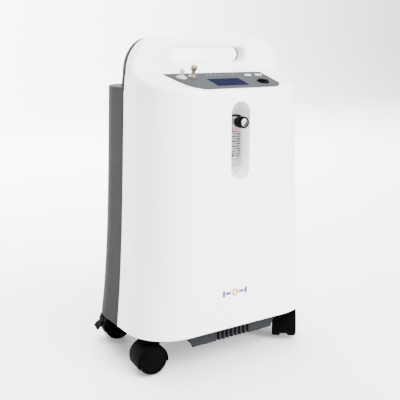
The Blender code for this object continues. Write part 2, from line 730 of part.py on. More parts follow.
# ---------------------------------------------------------------- inside
def build_inside():
    front, back = -0.075, 0.095
    side = 0.150
    shelf = box("mid_shelf", (-side, front, SHELF_Z), (side, back, SHELF_Z + 0.003))
    fan_x, fan_y, fan_half = 0.092, 0.010, 0.046
    cut(shelf, rod("shelf_hole", (fan_x, fan_y, SHELF_Z - 0.01),
                   (fan_x, fan_y, SHELF_Z + 0.01), 0.041, 32))
    node(shelf, "mid_shelf", "grey_shell")

    high = SHELF_Z - GAP
    frame = box("exhaust_fan_frame", (fan_x - fan_half, fan_y - fan_half, high - 0.025),
                (fan_x + fan_half, fan_y + fan_half, high))
    cut(frame, rod("fan_throat", (fan_x, fan_y, high - 0.022), (fan_x, fan_y, high + 0.01), 0.043, 32))
    for i in range(4):
        spoke = box("fan_window", (0.017, -0.0145, high - 0.03), (0.042, 0.0145, high - 0.0215))
        keep = rod("fan_window_limit", (0, 0, high - 0.04), (0, 0, high - 0.01), 0.040, 32)
        boolean(spoke, keep, "INTERSECT")
        for piece in (spoke, keep):
            piece.location = (fan_x, fan_y, 0)
            piece.rotation_euler.z = i * pi / 2
        cut(frame, spoke)
    node(frame, "exhaust_fan_frame", "black_plastic")

    rotor = rod("exhaust_fan_rotor", (0, 0, -0.0085), (0, 0, 0.0095), 0.018, 24)
    for i in range(7):
        blade = box("fan_blade", (0.016, -0.0100, -0.0007), (0.0410, 0.0100, 0.0007))
        blade.rotation_euler = (radians(32), 0, 2 * pi * i / 7)
        union(rotor, blade)
    node(place(rotor, (fan_x, fan_y, high - 0.0118)), "exhaust_fan_rotor", "black_plastic")

    # compressor lying along X on the tray, a head and a fan at each end of its shaft
    cx, cy, cz = -0.020, 0.012, 0.122
    body = rod("compressor_body", (cx - 0.040, cy, cz), (cx + 0.040, cy, cz), 0.040, 32)
    union(body, box("compressor_foot", (cx - 0.050, cy - 0.042, FLOOR_Z + GAP),
                    (cx + 0.050, cy + 0.042, FLOOR_Z + 0.010)))
    union(body, box("compressor_rib", (cx - 0.030, cy - 0.020, FLOOR_Z + 0.005),
                    (cx + 0.030, cy + 0.020, cz)))
    shaft_hole = rod("shaft_hole", (cx - 0.10, cy, cz), (cx + 0.10, cy, cz), 0.0043, 20)
    cut(body, shaft_hole)
    node(body, "compressor_body", "aluminium")
    for side_name, way in (("left", -1), ("right", 1)):
        inner, outer = cx + way * (0.040 + GAP), cx + way * 0.066
        head = box(f"cylinder_head_{side_name}", (min(inner, outer), cy - 0.024, cz - 0.024),
                   (max(inner, outer), cy + 0.024, cz + 0.044), 0.003)
        for k in range(4):
            fin_z = cz + 0.016 + 0.0066 * k
            cut(head, box("fin_gap", (min(inner, outer) - 0.01, cy - 0.03, fin_z),
                          (max(inner, outer) + 0.01, cy - 0.016, fin_z + 0.0030)))
            cut(head, box("fin_gap", (min(inner, outer) - 0.01, cy + 0.016, fin_z),
                          (max(inner, outer) + 0.01, cy + 0.03, fin_z + 0.0030)))
        cut(head, rod("head_hole", (cx - 0.10, cy, cz), (cx + 0.10, cy, cz), 0.0043, 20))
        node(head, f"cylinder_head_{side_name}", "aluminium")
    shaft = rod("compressor_shaft", (-0.078, 0, 0), (0.078, 0, 0), 0.004, 20)
    for way in (-1, 1):
        hub = rod("shaft_fan_hub", (way * 0.0685, 0, 0), (way * 0.0765, 0, 0), 0.011, 20)
        union(shaft, hub)
        for i in range(5):
            blade = box("shaft_fan_blade", (-0.0006, -0.0060, 0.009), (0.0006, 0.0060, 0.030))
            blade.location.x = way * 0.0725
            blade.rotation_mode = "QUATERNION"
            spin = Matrix.Rotation(2 * pi * i / 5, 4, "X") @ Matrix.Rotation(radians(25), 4, "Z")
            blade.rotation_quaternion = spin.to_quaternion()
            union(shaft, blade)
    node(place(shaft, (cx, cy, cz)), "compressor_shaft", "steel")

    base = SHELF_Z + 0.003 + GAP
    for name, x in (("sieve_bed_left", -0.112), ("sieve_bed_right", -0.044)):
        bed = turned(name, [
            (0.0, 0.215), (0.031, 0.215), (0.031, 0.205), (0.029, 0.203), (0.029, 0.012),
            (0.031, 0.010), (0.031, 0.0), (0.0, 0.0)], 28)
        node(place(bed, (x, 0.045, base)), name, "aluminium")
    tank = turned("product_tank", [
        (0.0, 0.150), (0.012, 0.150), (0.024, 0.142), (0.027, 0.130), (0.027, 0.014),
        (0.022, 0.004), (0.018, 0.0), (0.0, 0.0)], 28)
    node(place(tank, (0.018, 0.050, base)), "product_tank", "aluminium")
    manifold = box("valve_manifold", (-0.138, 0.022, base + 0.215 + GAP),
                   (-0.016, 0.068, base + 0.240), 0.002)
    for k in range(3):
        x = -0.112 + 0.034 * k
        coil = rod("valve_coil", (x, 0.045, base + 0.238), (x, 0.045, base + 0.262), 0.011, 16)
        union(manifold, coil)
    node(manifold, "valve_manifold", "aluminium")

    board = box("main_board", (-0.125, -0.0500, 0.250), (-0.030, -0.0484, 0.400))
    chips = [(-0.110, 0.270, 0.030, 0.020, 0.012), (-0.070, 0.280, 0.022, 0.034, 0.018),
             (-0.105, 0.330, 0.040, 0.016, 0.008), (-0.060, 0.350, 0.024, 0.024, 0.006)]
    for px, pz, w, h, t in chips:
        union(board, box("chip", (px, -0.0490, pz), (px + w, -0.0484 + t, pz + h)))
    node(board, "main_board", "board_green")

    turns, y, points = 5, -0.062, []
    for i in range(turns):
        z = FLOOR_Z + 0.014 + 0.013 * i
        ends = (-0.095, 0.060) if i % 2 == 0 else (0.060, -0.095)
        points += [(ends[0], y, z), (ends[1], y, z)]
        if i < turns - 1:
            bend = ends[1]
            way = 1 if bend > 0 else -1
            points += [(bend + way * 0.0065 * cos(a), y, z + 0.0065 + 0.0065 * sin(a))
                       for a in (radians(-45), 0, radians(45))]
    coil = tube("heat_exchanger_coil", points, 0.0030)
    node(coil, "heat_exchanger_coil", "copper")

    silencer = turned("intake_silencer", [
        (0.0, 0.085), (0.008, 0.085), (0.008, 0.070), (0.024, 0.066), (0.024, 0.004),
        (0.021, 0.0), (0.0, 0.0)], 24)
    node(place(silencer, (0.115, 0.060, base)), "intake_silencer", "black_plastic")
    hose = [(0.018, 0.050, base + 0.154), (0.018, 0.050, base + 0.168), (0.020, 0.030, base + 0.186),
            (0.016, -0.020, base + 0.186), (0.006, -0.050, base + 0.170),
            (0.0, -0.060, base + 0.150), (0.0, -0.064, base + 0.120)]
    node(tube("oxygen_hose", smooth_route(hose, 24), 0.0035), "oxygen_hose", "silicone")


def smooth_route(knots, count):
    """Evenly numbered points on a Catmull-Rom curve through the knots."""
    ends = [knots[0]] + list(knots) + [knots[-1]]
    route = []
    spans = len(knots) - 1
    for k in range(count + 1):
        at = min(spans - 1e-9, spans * k / count)
        i = int(at)
        t = at - i
        a, b, c, d = (Vector(p) for p in ends[i:i + 4])
        route.append(tuple(0.5 * (2 * b + (c - a) * t + (2 * a - 5 * b + 4 * c - d) * t * t
                                  + (3 * b - a - 3 * c + d) * t ** 3)))
    return route


# ---------------------------------------------------------------- casters
def build_caster(label, pivot, trail, braked):
    centre = bpy.data.objects.new(f"{label}_swivel", None)
    parts.objects.link(centre)
    centre.parent = stand
    centre.location = (pivot[0], pivot[1], CASTER_Z)
    centre.rotation_euler.z = math.atan2(-trail[0], trail[1])
    axle_at = (0, TRAIL, WHEEL_R)
    plate = SHELL_Z - 0.003 - CASTER_Z

    stem = turned("stem", [
        (0.0, plate - GAP), (0.0130, plate - GAP), (0.0130, plate - 0.0030), (STEM_R, plate - 0.0040),
        (STEM_R, 0.0515), (0.0, 0.0505)], 24)
    node(place(stem, parent=centre), f"{label}_stem", "steel")

    half = WHEEL_HALF_GAUGE + WHEEL_W / 2
    shell = extruded("hood", arc((0, 0), HOOD_R, -30, 190, 13), -half, half, "X")
    shell.location = axle_at
    inner = rod("hood_space", (-half - 0.01, 0, 0), (half + 0.01, 0, 0), WHEEL_R + 0.0008, 32)
    inner.location = axle_at
    under = box("hood_under", (-half - 0.01, -0.05, -0.04), (half + 0.01, 0.05, -0.0135))
    under.location = axle_at
    web_half = WHEEL_HALF_GAUGE - WHEEL_W / 2 - 0.0006
    web = rod("hood_web", (-web_half, 0, 0), (web_half, 0, 0), WHEEL_R + 0.0015, 28)
    web.location = axle_at
    boss = rod("hood_boss", (0, 0, 0.036), (0, 0, plate - 0.0045), 0.0105, 24)
    bridge = box("hood_bridge", (-0.0105, 0, 0.044), (0.0105, TRAIL + 0.004, plate - 0.0105))
    hole = rod("stem_hole", (0, 0, 0.0495), (0, 0, 0.08), STEM_R + GAP, 24)
    axle_hole = rod("axle_hole", (-0.03, 0, 0), (0.03, 0, 0), AXLE_R + GAP, 20)
    axle_hole.location = axle_at
    for piece in (shell, inner, under, web, boss, bridge, hole, axle_hole):
        piece.parent = centre
    cut(shell, inner)
    union(shell, web, boss, bridge)
    for side in (-1, 1):
        clear = rod("wheel_clear", (side * web_half, 0, 0), (side * (half + 0.02), 0, 0),
                    WHEEL_R + 0.0008, 32)
        clear.location = axle_at
        clear.parent = centre
        cut(shell, clear)
    if braked:
        notch = box("lever_notch", (-0.0095, TRAIL + HOOD_R - 0.008, WHEEL_R + 0.002),
                    (0.0095, TRAIL + HOOD_R + 0.01, WHEEL_R + 0.019))
        notch.parent = centre
        cut(shell, notch)
    cut(shell, under, hole, axle_hole)
    node(shell, f"{label}_hood", "black_plastic")

    axle = rod("axle", (-half + 0.002, 0, 0), (half - 0.002, 0, 0), AXLE_R, 20)
    node(place(axle, axle_at, parent=centre), f"{label}_axle", "steel")

    for side_name, way in (("left", -1), ("right", 1)):
        w = WHEEL_W / 2
        wheel = turned("wheel", [
            (0.0033, w), (0.0225, w), (WHEEL_R, w - 0.0025), (WHEEL_R, -w + 0.0025), (0.0225, -w),
            (0.0033, -w)], 32)
        turn = Matrix.Rotation(pi / 2, 4, "Y").to_quaternion()
        place(wheel, (way * WHEEL_HALF_GAUGE, TRAIL, WHEEL_R), turn, centre)
        node(wheel, f"{label}_wheel_{side_name}", "tread_rubber")

    if braked:
        lever = box("brake", (-0.0088, 0.0, -0.0022), (0.0088, 0.0190, 0.0012), 0.0008)
        tread = box("brake_tread", (-0.0120, 0.0080, -0.0022), (0.0120, 0.0200, 0.0020), 0.0008)
        root = box("brake_root", (-0.0055, -0.0045, -0.0018), (0.0055, 0.0020, 0.0010))
        union(lever, tread, root)
        lever_at = (0, TRAIL + HOOD_R - 0.0020, WHEEL_R + 0.0105)
        tilt = Matrix.Rotation(LEVER_TILT, 4, "X").to_quaternion()
        place(lever, lever_at, tilt, centre)
        node(lever, f"{label}_brake", "black_plastic")


build_deck()
build_flowmeter()
build_rear_fittings()
build_inside()
for label, (pivot, trail) in CASTERS.items():
    build_caster(label, pivot, trail, label.startswith("rear"))
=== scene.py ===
"""Looks of the oxygen concentrator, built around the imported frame. Metres, +Z up, front towards -Y.

Pieces are laid out as in the CAD: x = 0 is the machine's mid-plane, y = 0 the joint of the two
shells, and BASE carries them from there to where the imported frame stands.
"""

from math import asin, atan2, cos, degrees, pi, radians, sin, sqrt, tan

import bmesh
import bpy
from mathutils import Matrix, Vector


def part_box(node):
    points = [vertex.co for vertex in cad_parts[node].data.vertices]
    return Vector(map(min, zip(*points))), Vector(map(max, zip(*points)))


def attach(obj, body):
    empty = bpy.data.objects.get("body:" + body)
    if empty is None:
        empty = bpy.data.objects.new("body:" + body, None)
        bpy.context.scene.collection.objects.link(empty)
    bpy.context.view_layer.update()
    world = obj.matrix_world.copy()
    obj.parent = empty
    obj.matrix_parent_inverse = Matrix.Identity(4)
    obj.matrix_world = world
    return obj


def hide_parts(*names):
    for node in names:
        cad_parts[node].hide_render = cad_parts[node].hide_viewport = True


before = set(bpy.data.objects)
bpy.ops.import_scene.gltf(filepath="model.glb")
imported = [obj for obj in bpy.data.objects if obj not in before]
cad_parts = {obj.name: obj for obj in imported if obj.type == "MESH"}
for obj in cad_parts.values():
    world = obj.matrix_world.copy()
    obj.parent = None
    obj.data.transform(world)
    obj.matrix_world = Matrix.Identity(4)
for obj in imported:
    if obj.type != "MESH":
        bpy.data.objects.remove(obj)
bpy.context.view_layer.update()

# ---------------------------------------------------------------- where the frame puts things
cover_low, cover_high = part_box("front_cover")
MID_X = (cover_low[0] + cover_high[0]) / 2
JOINT_Y = cover_high[1] + 0.0002
TOP_Z = 0.5865  # top of the handle
BASE = Vector((MID_X, JOINT_Y, cover_high[2] - TOP_Z))
FLOOR_Z = -BASE[2]

# ---------------------------------------------------------------- shells
SHELL_Z = 0.0708  # bottom edge of both shells
SHOULDER_Z = 0.5025  # flat top of the rear shell
SEAM = 0.0002  # half the gap between the two shells
HALF_WIDTH = 0.1625  # at the shoulder
FLARE = (0.0165, 0.0083)  # widening to the bottom: even part, late part
FRONT_DEPTH, FRONT_FLARE = 0.1193, 0.0011
REAR_DEPTH, REAR_FLARE = 0.1210, 0.0070
CORNER = 0.080  # radius of the four upright corners
SIDE_STEPS, TURN_STEPS, FACE_STEPS = 5, 26, 8  # points on a side, a rounded corner and the face
COUNT = 2 * SIDE_STEPS + 2 * TURN_STEPS + FACE_STEPS + 1

# ---------------------------------------------------------------- handle
ARCH_START_Z, ARCH_HALF = 0.5255, 0.1590  # where the arch starts, and half its width there
ARCH_RUN = 0.049  # sideways size of the arch's two quarter-ellipses
HANDLE_DEPTH = 0.020  # white half, front face to joint
HANDLE_REAR = 0.0115  # grey half; 1.5 mm deeper than in the CAD, as the photo shows it
HANDLE_SEAM = -0.0018  # where the two halves meet; the CAD has them meet at 0
WEB_REAR = 0.0036  # back of the web that closes the handle from behind
HANDLE_ROUND, SLOT_ROUND, REAR_ROUND = 0.0065, 0.0030, 0.0020  # outer edge, slot's rim, grey edge
SLOT_HALF, SLOT_Z, SLOT_R = 0.0830, 0.5560, 0.0138
TUCK = 0.00006  # how far the handle's foot stays inside the shells' wall
COVE_HALF = 0.1555  # half the length of the fillet between deck and handle

# ---------------------------------------------------------------- control deck: x, and y measured level
TILT = radians(15.4)  # of the deck, down to the front
DECK_REAR = (-0.033, 0.5255)  # y, z of a point on the deck
LCD_AT, LCD_HALF = (-0.0056, -0.0890), (0.0332, 0.0184)
ROCKER_AT = (0.0665, -0.0932)
ROCKER_REST = Matrix.Rotation(radians(-8), 4, "X")
BUTTONS_AT = {"button_left": (0.0587, -0.0582), "button_right": (0.0822, -0.0586)}
OXYGEN_AT, NEBULISER_AT = (-0.0606, -0.0600), (-0.0830, -0.0600)
PANEL_LOW, PANEL_TOP = -0.0012, 0.0014  # heights over the deck

# ---------------------------------------------------------------- flowmeter and front
RECESS_HALF, RECESS_R, RECESS_MID = 0.06875, 0.0195, 0.41125
METER_Y, TUB_BACK = -0.100, -0.0853  # front of the clear block, back of the recess
METER_Z, METER_HALF = (0.3640, 0.4545), 0.014  # the block's low and high end, half its width
TUBE_Y = -0.0930  # axis of the clear tube and its ball
SCALE_ZERO, PER_LITRE = 0.3826, 0.00866  # height of the zero, and between whole litres
INK_Y = METER_Y - 0.00005  # plane of the print on the clear block
KNOB_AT = (0, METER_Y, 0.4445)
KNOB_R, KNOB_RIBS = 0.0102, 36
EMBLEM_X, EMBLEM_Z = -0.0088, 0.1375

# ---------------------------------------------------------------- back: x and z of what sits there
DOOR_Z, DOOR_HALF = 0.345, (0.0555, 0.0695)
LOUVRE_ROWS, LOUVRE_SPAN, LOUVRE_HALF = 9, 0.1034, (0.0437, 0.0028)
INLET_AT, BREAKER_AT = (-0.034, 0.135), (0.030, 0.135)
PIN_HALF, SCREW_AT = (0.001, 0.002), 0.0205  # of a socket pin; a screw's distance from the middle

# ---------------------------------------------------------------- casters
WHEEL_R, WHEEL_W = 0.0262, 0.0165
WHEEL_AT, TRAIL = 0.0150, 0.010  # of a wheel's middle: sideways, and behind the pivot
HOOD_HALF = WHEEL_AT + WHEEL_W / 2
PLATE_Z = SHELL_Z - 0.003 - FLOOR_Z  # height of the tray's plate over the floor
FRONT_PIVOT, REAR_PIVOT = (0.150, -0.069), (0.130, 0.103)

FORWARDS = Matrix.Rotation(pi / 2, 4, "X").to_quaternion()  # turns local Z towards the front
BACKWARDS = Matrix.Rotation(-pi / 2, 4, "X").to_quaternion()


# ---------------------------------------------------------------- materials
def noise(tree, place, scale, detail):
    """A noise texture in the piece's own coordinates."""
    made = tree.nodes.new("ShaderNodeTexNoise")
    made.inputs["Scale"].default_value = scale
    made.inputs["Detail"].default_value = detail
    tree.links.new(place.outputs["Object"], made.inputs["Vector"])
    return made


def material(name, colour, rough=0.4, metallic=0.0, bump=0.02, grain=900.0, vary=0.03, coat=0.0,
             transmission=0.0, ior=1.46, specular=0.5):
    """A Principled material with fine grain, uneven gloss and faint colour drift."""
    made = bpy.data.materials.new(name)
    made.use_nodes = True
    tree = made.node_tree
    shader = tree.nodes["Principled BSDF"]
    for label, value in (("Metallic", metallic), ("Coat Weight", coat), ("Coat Roughness", 0.12),
                         ("Transmission Weight", transmission), ("IOR", ior),
                         ("Specular IOR Level", specular)):
        shader.inputs[label].default_value = value
    place = tree.nodes.new("ShaderNodeTexCoord")
    fine = noise(tree, place, grain, 4.0)
    broad = noise(tree, place, 9.0, 3.0)
    gloss = tree.nodes.new("ShaderNodeMapRange")
    gloss.inputs["To Min"].default_value = max(0.02, rough - 0.06)
    gloss.inputs["To Max"].default_value = min(1.0, rough + 0.06)
    tree.links.new(fine.outputs["Fac"], gloss.inputs["Value"])
    tree.links.new(gloss.outputs["Result"], shader.inputs["Roughness"])
    tone = tree.nodes.new("ShaderNodeValToRGB")
    for stop, position, share in zip(tone.color_ramp.elements, (0.3, 0.7), (1 - vary, 1 + vary)):
        stop.position = position
        stop.color = (*[min(1.0, c * share) for c in colour], 1)
    tree.links.new(broad.outputs["Fac"], tone.inputs["Fac"])
    tree.links.new(tone.outputs["Color"], shader.inputs["Base Color"])
    relief = tree.nodes.new("ShaderNodeBump")
    relief.inputs["Strength"].default_value = bump
    relief.inputs["Distance"].default_value = 0.0004
    tree.links.new(fine.outputs["Fac"], relief.inputs["Height"])
    tree.links.new(relief.outputs["Normal"], shader.inputs["Normal"])
    return made


WHITE = material("white_plastic", (0.90, 0.91, 0.908), 0.36, bump=0.02, vary=0.006, coat=0.12)
GREY = material("grey_plastic", (0.0205, 0.0212, 0.0216), 0.62, bump=0.25, grain=1500, vary=0.05,
                specular=0.04)
PANEL = material("membrane_grey", (0.043, 0.0465, 0.0505), 0.6, bump=0.05, grain=2500, vary=0.02,
                 specular=0.02)
LCD = material("display_blue", (0.0095, 0.0098, 0.0250), 0.6, bump=0.02, vary=0.06, specular=0.0)
TRAY = material("tray_plastic", (0.016, 0.0168, 0.019), 0.6, bump=0.3, grain=1400, vary=0.05,
                specular=0.03)
BLACK = material("black_plastic", (0.0013, 0.0013, 0.0014), 0.6, bump=0.25, grain=1600, vary=0.1,
                 specular=0.012)
DISC = material("disc_black", (0.0012, 0.0012, 0.0013), 0.5, bump=0.12, grain=1800, vary=0.1,
                specular=0.012)
GLOSS_BLACK = material("gloss_black", (0.0012, 0.0012, 0.0014), 0.35, bump=0.03, vary=0.1,
                       specular=0.025)
RUBBER = material("tread", (0.0018, 0.0018, 0.0018), 0.75, bump=0.4, grain=900, vary=0.12,
                  specular=0.015)
NICKEL = material("nickel_plate", (0.22, 0.195, 0.140), 0.30, 1.0, bump=0.03, vary=0.05)
CAP_SILVER = material("cap_silver", (0.24, 0.245, 0.25), 0.36, 1.0, bump=0.04, vary=0.04)
STEEL = material("zinc_steel", (0.52, 0.53, 0.54), 0.35, 1.0, bump=0.06, vary=0.06)
CLEAR = material("clear_acrylic", (0.93, 0.945, 0.945), 0.04, transmission=0.93, ior=1.45, vary=0.01,
                 bump=0.0)
FROST = material("clear_nozzle", (0.55, 0.56, 0.56), 0.16, transmission=0.35, ior=1.4, vary=0.02,
                 bump=0.02)
TUBE = material("clear_tube", (0.95, 0.96, 0.96), 0.03, transmission=1.0, ior=1.2, vary=0.01, bump=0.0)
BUTTON = material("button_white", (0.50, 0.51, 0.52), 0.45, bump=0.03, vary=0.01)
BACKING = material("scale_backing", (0.62, 0.63, 0.63), 0.5, bump=0.02, vary=0.01)
# dark print for the scale and lettering; also the painted dark reflection on the knob's silver disc
PRINT_AND_REFLECTION = material("print_and_reflection_dark", (0.003, 0.003, 0.0035), 0.6, vary=0.05, bump=0.02, specular=0.02)
INK_PALE = material("print_pale", (0.16, 0.17, 0.18), 0.5, vary=0.03, bump=0.02)
RED = material("print_red", (0.50, 0.045, 0.045), 0.5, vary=0.05, bump=0.02)
FOAM = material("filter_foam", (0.025, 0.025, 0.027), 0.95, bump=1.0, grain=500, vary=0.3)
BRASS = material("socket_pin", (0.60, 0.48, 0.25), 0.3, 1.0, bump=0.03)
ORANGE = material("emblem_warm", (0.60, 0.15, 0.02), 0.45, vary=0.02, bump=0.02)
BLUE = material("emblem_blue", (0.012, 0.035, 0.16), 0.45, vary=0.02, bump=0.02)


# ---------------------------------------------------------------- building blocks
def link(name, data):
    """A new object in the scene."""
    made = bpy.data.objects.new(name, data)
    bpy.context.scene.collection.objects.link(made)
    return made


def from_bm(name, bm, mat):
    """Turns a bmesh into a piece, smooth but for its sharp edges."""
    bmesh.ops.recalc_face_normals(bm, faces=bm.faces)
    mesh = bpy.data.meshes.new(name)
    bm.to_mesh(mesh)
    bm.free()
    mesh.shade_smooth()
    mesh.set_sharp_from_angle(angle=radians(38))
    made = link(name, mesh)
    made.location = BASE
    mesh.materials.append(mat)
    return made


def rings(name, loops, mat, cyclic=False, cap=True):
    """A surface through loops of equal length; cyclic joins the last to the first."""
    bm = bmesh.new()
    rows = [[bm.verts.new(p) for p in loop] for loop in loops]
    pairs = list(zip(rows, rows[1:])) + ([(rows[-1], rows[0])] if cyclic else [])
    count = len(rows[0])
    for lower, upper in pairs:
        for i in range(count):
            j = (i + 1) % count
            bm.faces.new((lower[i], lower[j], upper[j], upper[i]))
    if cap and not cyclic:
        bm.faces.new(rows[0])
        bm.faces.new(rows[-1])
    return from_bm(name, bm, mat)


def sheet(name, rows, mat):
    """An open surface through rows of points."""
    bm = bmesh.new()
    rows = [[bm.verts.new(p) for p in row] for row in rows]
    for here, after in zip(rows, rows[1:]):
        for j in range(len(here) - 1):
            bm.faces.new((here[j], after[j], after[j + 1], here[j + 1]))
    return from_bm(name, bm, mat)


def turned(name, profile, mat, steps=48):
    """A profile of (radius, height) turned about local Z; radii of 0 close it."""
    bm = bmesh.new()
    rows = []
    for r, h in profile:
        if r < 1e-7:
            rows.append([bm.verts.new((0, 0, h))] * steps)
        else:
            rows.append([bm.verts.new((r * cos(2 * pi * i / steps), r * sin(2 * pi * i / steps), h))
                         for i in range(steps)])
    for lower, upper in zip(rows, rows[1:]):
        for i in range(steps):
            j = (i + 1) % steps
            corners = []
            for v in (lower[i], lower[j], upper[j], upper[i]):
                if v not in corners:
                    corners.append(v)
            if len(corners) > 2:
                bm.faces.new(corners)
    return from_bm(name, bm, mat)


LIFTS = {
    "X": lambda u, v, w: (w, u, v),
    "Y": lambda u, v, w: (u, w, v),
    "Z": lambda u, v, w: (u, v, w),
}


def prism(name, outline, low, high, mat, axis="Z", edge=0.0, segments=3):
    """An outline drawn out along an axis, with rounded edges if edge is given."""
    lift = LIFTS[axis]
    made = rings(name, [[lift(u, v, w) for u, v in outline] for w in (low, high)], mat)
    if edge:
        bevel(made, edge, segments)
    return made


def box(name, low, high, mat, edge=0.0):
    """A block between two corners, with rounded edges if edge is given."""
    (x0, y0, z0), (x1, y1, z1) = low, high
    return prism(name, [(x0, y0), (x1, y0), (x1, y1), (x0, y1)], z0, z1, mat, edge=edge)


def bevel(made, width, segments=3, angle=35):
    """Rounds every edge sharper than the angle."""
    step = made.modifiers.new("Edge", "BEVEL")
    step.width = width
    step.segments = segments
    step.limit_method = "ANGLE"
    step.angle_limit = radians(angle)
    step.harden_normals = False


def plain_mesh(made):
    """The mesh of an object as its modifiers leave it."""
    bpy.context.view_layer.update()
    return bpy.data.meshes.new_from_object(made.evaluated_get(bpy.context.evaluated_depsgraph_get()))


def settle(made, tools=(), operation="DIFFERENCE"):
    """Cuts tools out of a piece (or joins them) and keeps the result as a plain mesh."""
    for tool in tools:
        step = made.modifiers.new("Cut", "BOOLEAN")
        step.operation = operation
        step.solver = "EXACT"
        step.object = tool
    mesh = plain_mesh(made)
    made.modifiers.clear()
    made.data = mesh
    for tool in tools:
        bpy.data.objects.remove(tool, do_unlink=True)
    mesh.shade_smooth()
    mesh.set_sharp_from_angle(angle=radians(38))
    return made


def add(made, body, *nodes, slot=None):
    """Ties a piece to its body and hides the CAD nodes it stands for; the colour slot is not used."""
    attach(made, body)
    if nodes:
        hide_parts(*nodes)
    return made


def at(made, location, rotation=None):
    """Puts a piece built about its own origin at a place in the machine."""
    made.location = BASE + Vector(location)
    if rotation is not None:
        made.rotation_mode = "QUATERNION"
        made.rotation_quaternion = rotation
    return made


def arc(cx, cy, r, a, b, n):
    """n + 1 points from angle a to angle b, in degrees."""
    return [(cx + r * cos(radians(a + (b - a) * i / n)), cy + r * sin(radians(a + (b - a) * i / n)))
            for i in range(n + 1)]


def stadium(half, r, n=16, upright=False, dv=0.0):
    """A slot outline, half long from its middle, lying or upright; dv lifts it."""
    pts = arc(half - r, 0, r, -90, 90, n) + arc(-(half - r), 0, r, 90, 270, n)
    return [(v if upright else u, (u if upright else v) + dv) for u, v in pts]


def printed(name, words, height, x, z):
    """Lettering on the clear block, as a thin mesh centred on (x, z)."""
    curve = bpy.data.curves.new(name, "FONT")
    curve.body = words
    curve.size = height
    curve.extrude = 0.0001
    curve.align_x = "CENTER"
    curve.align_y = "CENTER"
    holder = link(name + "_font", curve)
    mesh = plain_mesh(holder)
    bpy.data.objects.remove(holder, do_unlink=True)
    made = link(name, mesh)
    mesh.materials.clear()
    mesh.materials.append(PRINT_AND_REFLECTION)
    made.rotation_euler = (pi / 2, 0, 0)
    made.location = BASE + Vector((x, INK_Y - 0.00005, z))
    return made


# ---------------------------------------------------------------- the shells' shape
def drop(z):
    """0 at the shoulder and above, about 1 at the bottom edge."""
    return max(0.0, (SHOULDER_Z - z) / 0.43)


def half_width(z, inset=0.0):
    """Half the machine's width at a height: flared wall, shoulder, then the handle's arch."""
    if z <= SHOULDER_Z:
        return HALF_WIDTH - inset + FLARE[0] * drop(z) + FLARE[1] * drop(z) ** 4
    if z <= ARCH_START_Z:
        share = (z - SHOULDER_Z) / (ARCH_START_Z - SHOULDER_Z)
        return HALF_WIDTH - inset + (ARCH_HALF - HALF_WIDTH) * share
    rise = min(1.0, (z - ARCH_START_Z) / (TOP_Z - inset - ARCH_START_Z))
    return ARCH_HALF - ARCH_RUN + (ARCH_RUN - inset) * sqrt(1 - rise**2)


def depth_at(z, side):
    """How far the front (side -1) or rear (side 1) shell reaches from the joint."""
    if side < 0:
        return FRONT_DEPTH + FRONT_FLARE * drop(z) ** 3
    return REAR_DEPTH + REAR_FLARE * drop(z) ** 4


def deck_z(y):
    """Height of the sloping deck at a depth."""
    return DECK_REAR[1] + (y - DECK_REAR[0]) * tan(TILT)


def plan(k, z, side, inset=0.0):
    """Point k of a shell's plan outline at height z, from the left joint round to the right one."""
    width, depth = half_width(z) - inset, depth_at(z, side) - inset
    r = CORNER - inset
    straight = depth - r - SEAM
    if k < SIDE_STEPS:
        return (-width, side * (SEAM + straight * k / SIDE_STEPS))
    k -= SIDE_STEPS
    if k <= TURN_STEPS:
        a = pi / 2 * k / TURN_STEPS
        return (-(width - r) - r * cos(a), side * (depth - r + r * sin(a)))
    k -= TURN_STEPS
    if k <= FACE_STEPS:
        return ((width - r) * (2 * k / FACE_STEPS - 1), side * depth)
    k -= FACE_STEPS
    if k <= TURN_STEPS:
        a = pi / 2 * (1 - k / TURN_STEPS)
        return ((width - r) + r * cos(a), side * (depth - r + r * sin(a)))
    k -= TURN_STEPS
    return (width, side * (depth - r - straight * k / SIDE_STEPS))


def shell(name, side, top_of, fillet, mat, levels=30, steps=9):
    """A shell as a solid: flared wall, rolled top edge, flat top."""
    tops = [top_of(plan(k, 0.5, side)[1]) - fillet for k in range(COUNT)]
    loops = []
    for i in range(levels + 1):
        heights = [SHELL_Z + (top - SHELL_Z) * i / levels for top in tops]
        loops.append([(*plan(k, z, side), z) for k, z in enumerate(heights)])
    for i in range(1, steps + 1):
        a = pi / 2 * i / steps
        loop = []
        for k, top in enumerate(tops):
            x, y = plan(k, top, side, fillet * (1 - cos(a)))
            y = side * max(abs(y), SEAM)
            loop.append((x, y, top_of(y) - fillet + fillet * sin(a)))
        loops.append(loop)
    return rings(name, loops, mat)


def ray(polygon, centre, angle):
    """Where a ray from the centre leaves a closed outline."""
    dx, dy = cos(angle), sin(angle)
    best = None
    for (ax, ay), (bx, by) in zip(polygon, polygon[1:] + polygon[:1]):
        ax, ay, bx, by = ax - centre[0], ay - centre[1], bx - centre[0], by - centre[1]
        ex, ey = bx - ax, by - ay
        det = dx * ey - dy * ex
        if abs(det) < 1e-15:
            continue
        far = (ax * ey - ay * ex) / det
        along = (ax * dy - ay * dx) / det
        if far > 0 and -1e-9 <= along <= 1 + 1e-9 and (best is None or far > best):
            best = far
    return (centre[0] + best * dx, centre[1] + best * dy)


def arch(inset, steps=40):
    """The handle's outer outline, from its left foot over the top to its right foot."""
    rise = TOP_Z - inset - ARCH_START_Z
    side = [(half_width(z, inset + TUCK), z) for z in (0.485, 0.495, SHOULDER_Z, 0.514)]
    for i in range(steps + 1):
        z = ARCH_START_Z + rise * sin(pi / 2 * i / steps)
        side.append((half_width(z, inset), z))
    return side + [(-x, z) for x, z in reversed(side)]


def handle_angles(around=160, extra=40, step=0.012):
    """Even angles all round the slot's middle, and closer ones at the slot's two ends."""
    even = {round(2 * pi * i / around, 5) for i in range(around)}
    close = {round(end + way * step * j, 5) % (2 * pi)
             for end in (0, pi) for way in (-1, 1) for j in range(extra)}
    return sorted(even | close)


ANGLES = handle_angles()


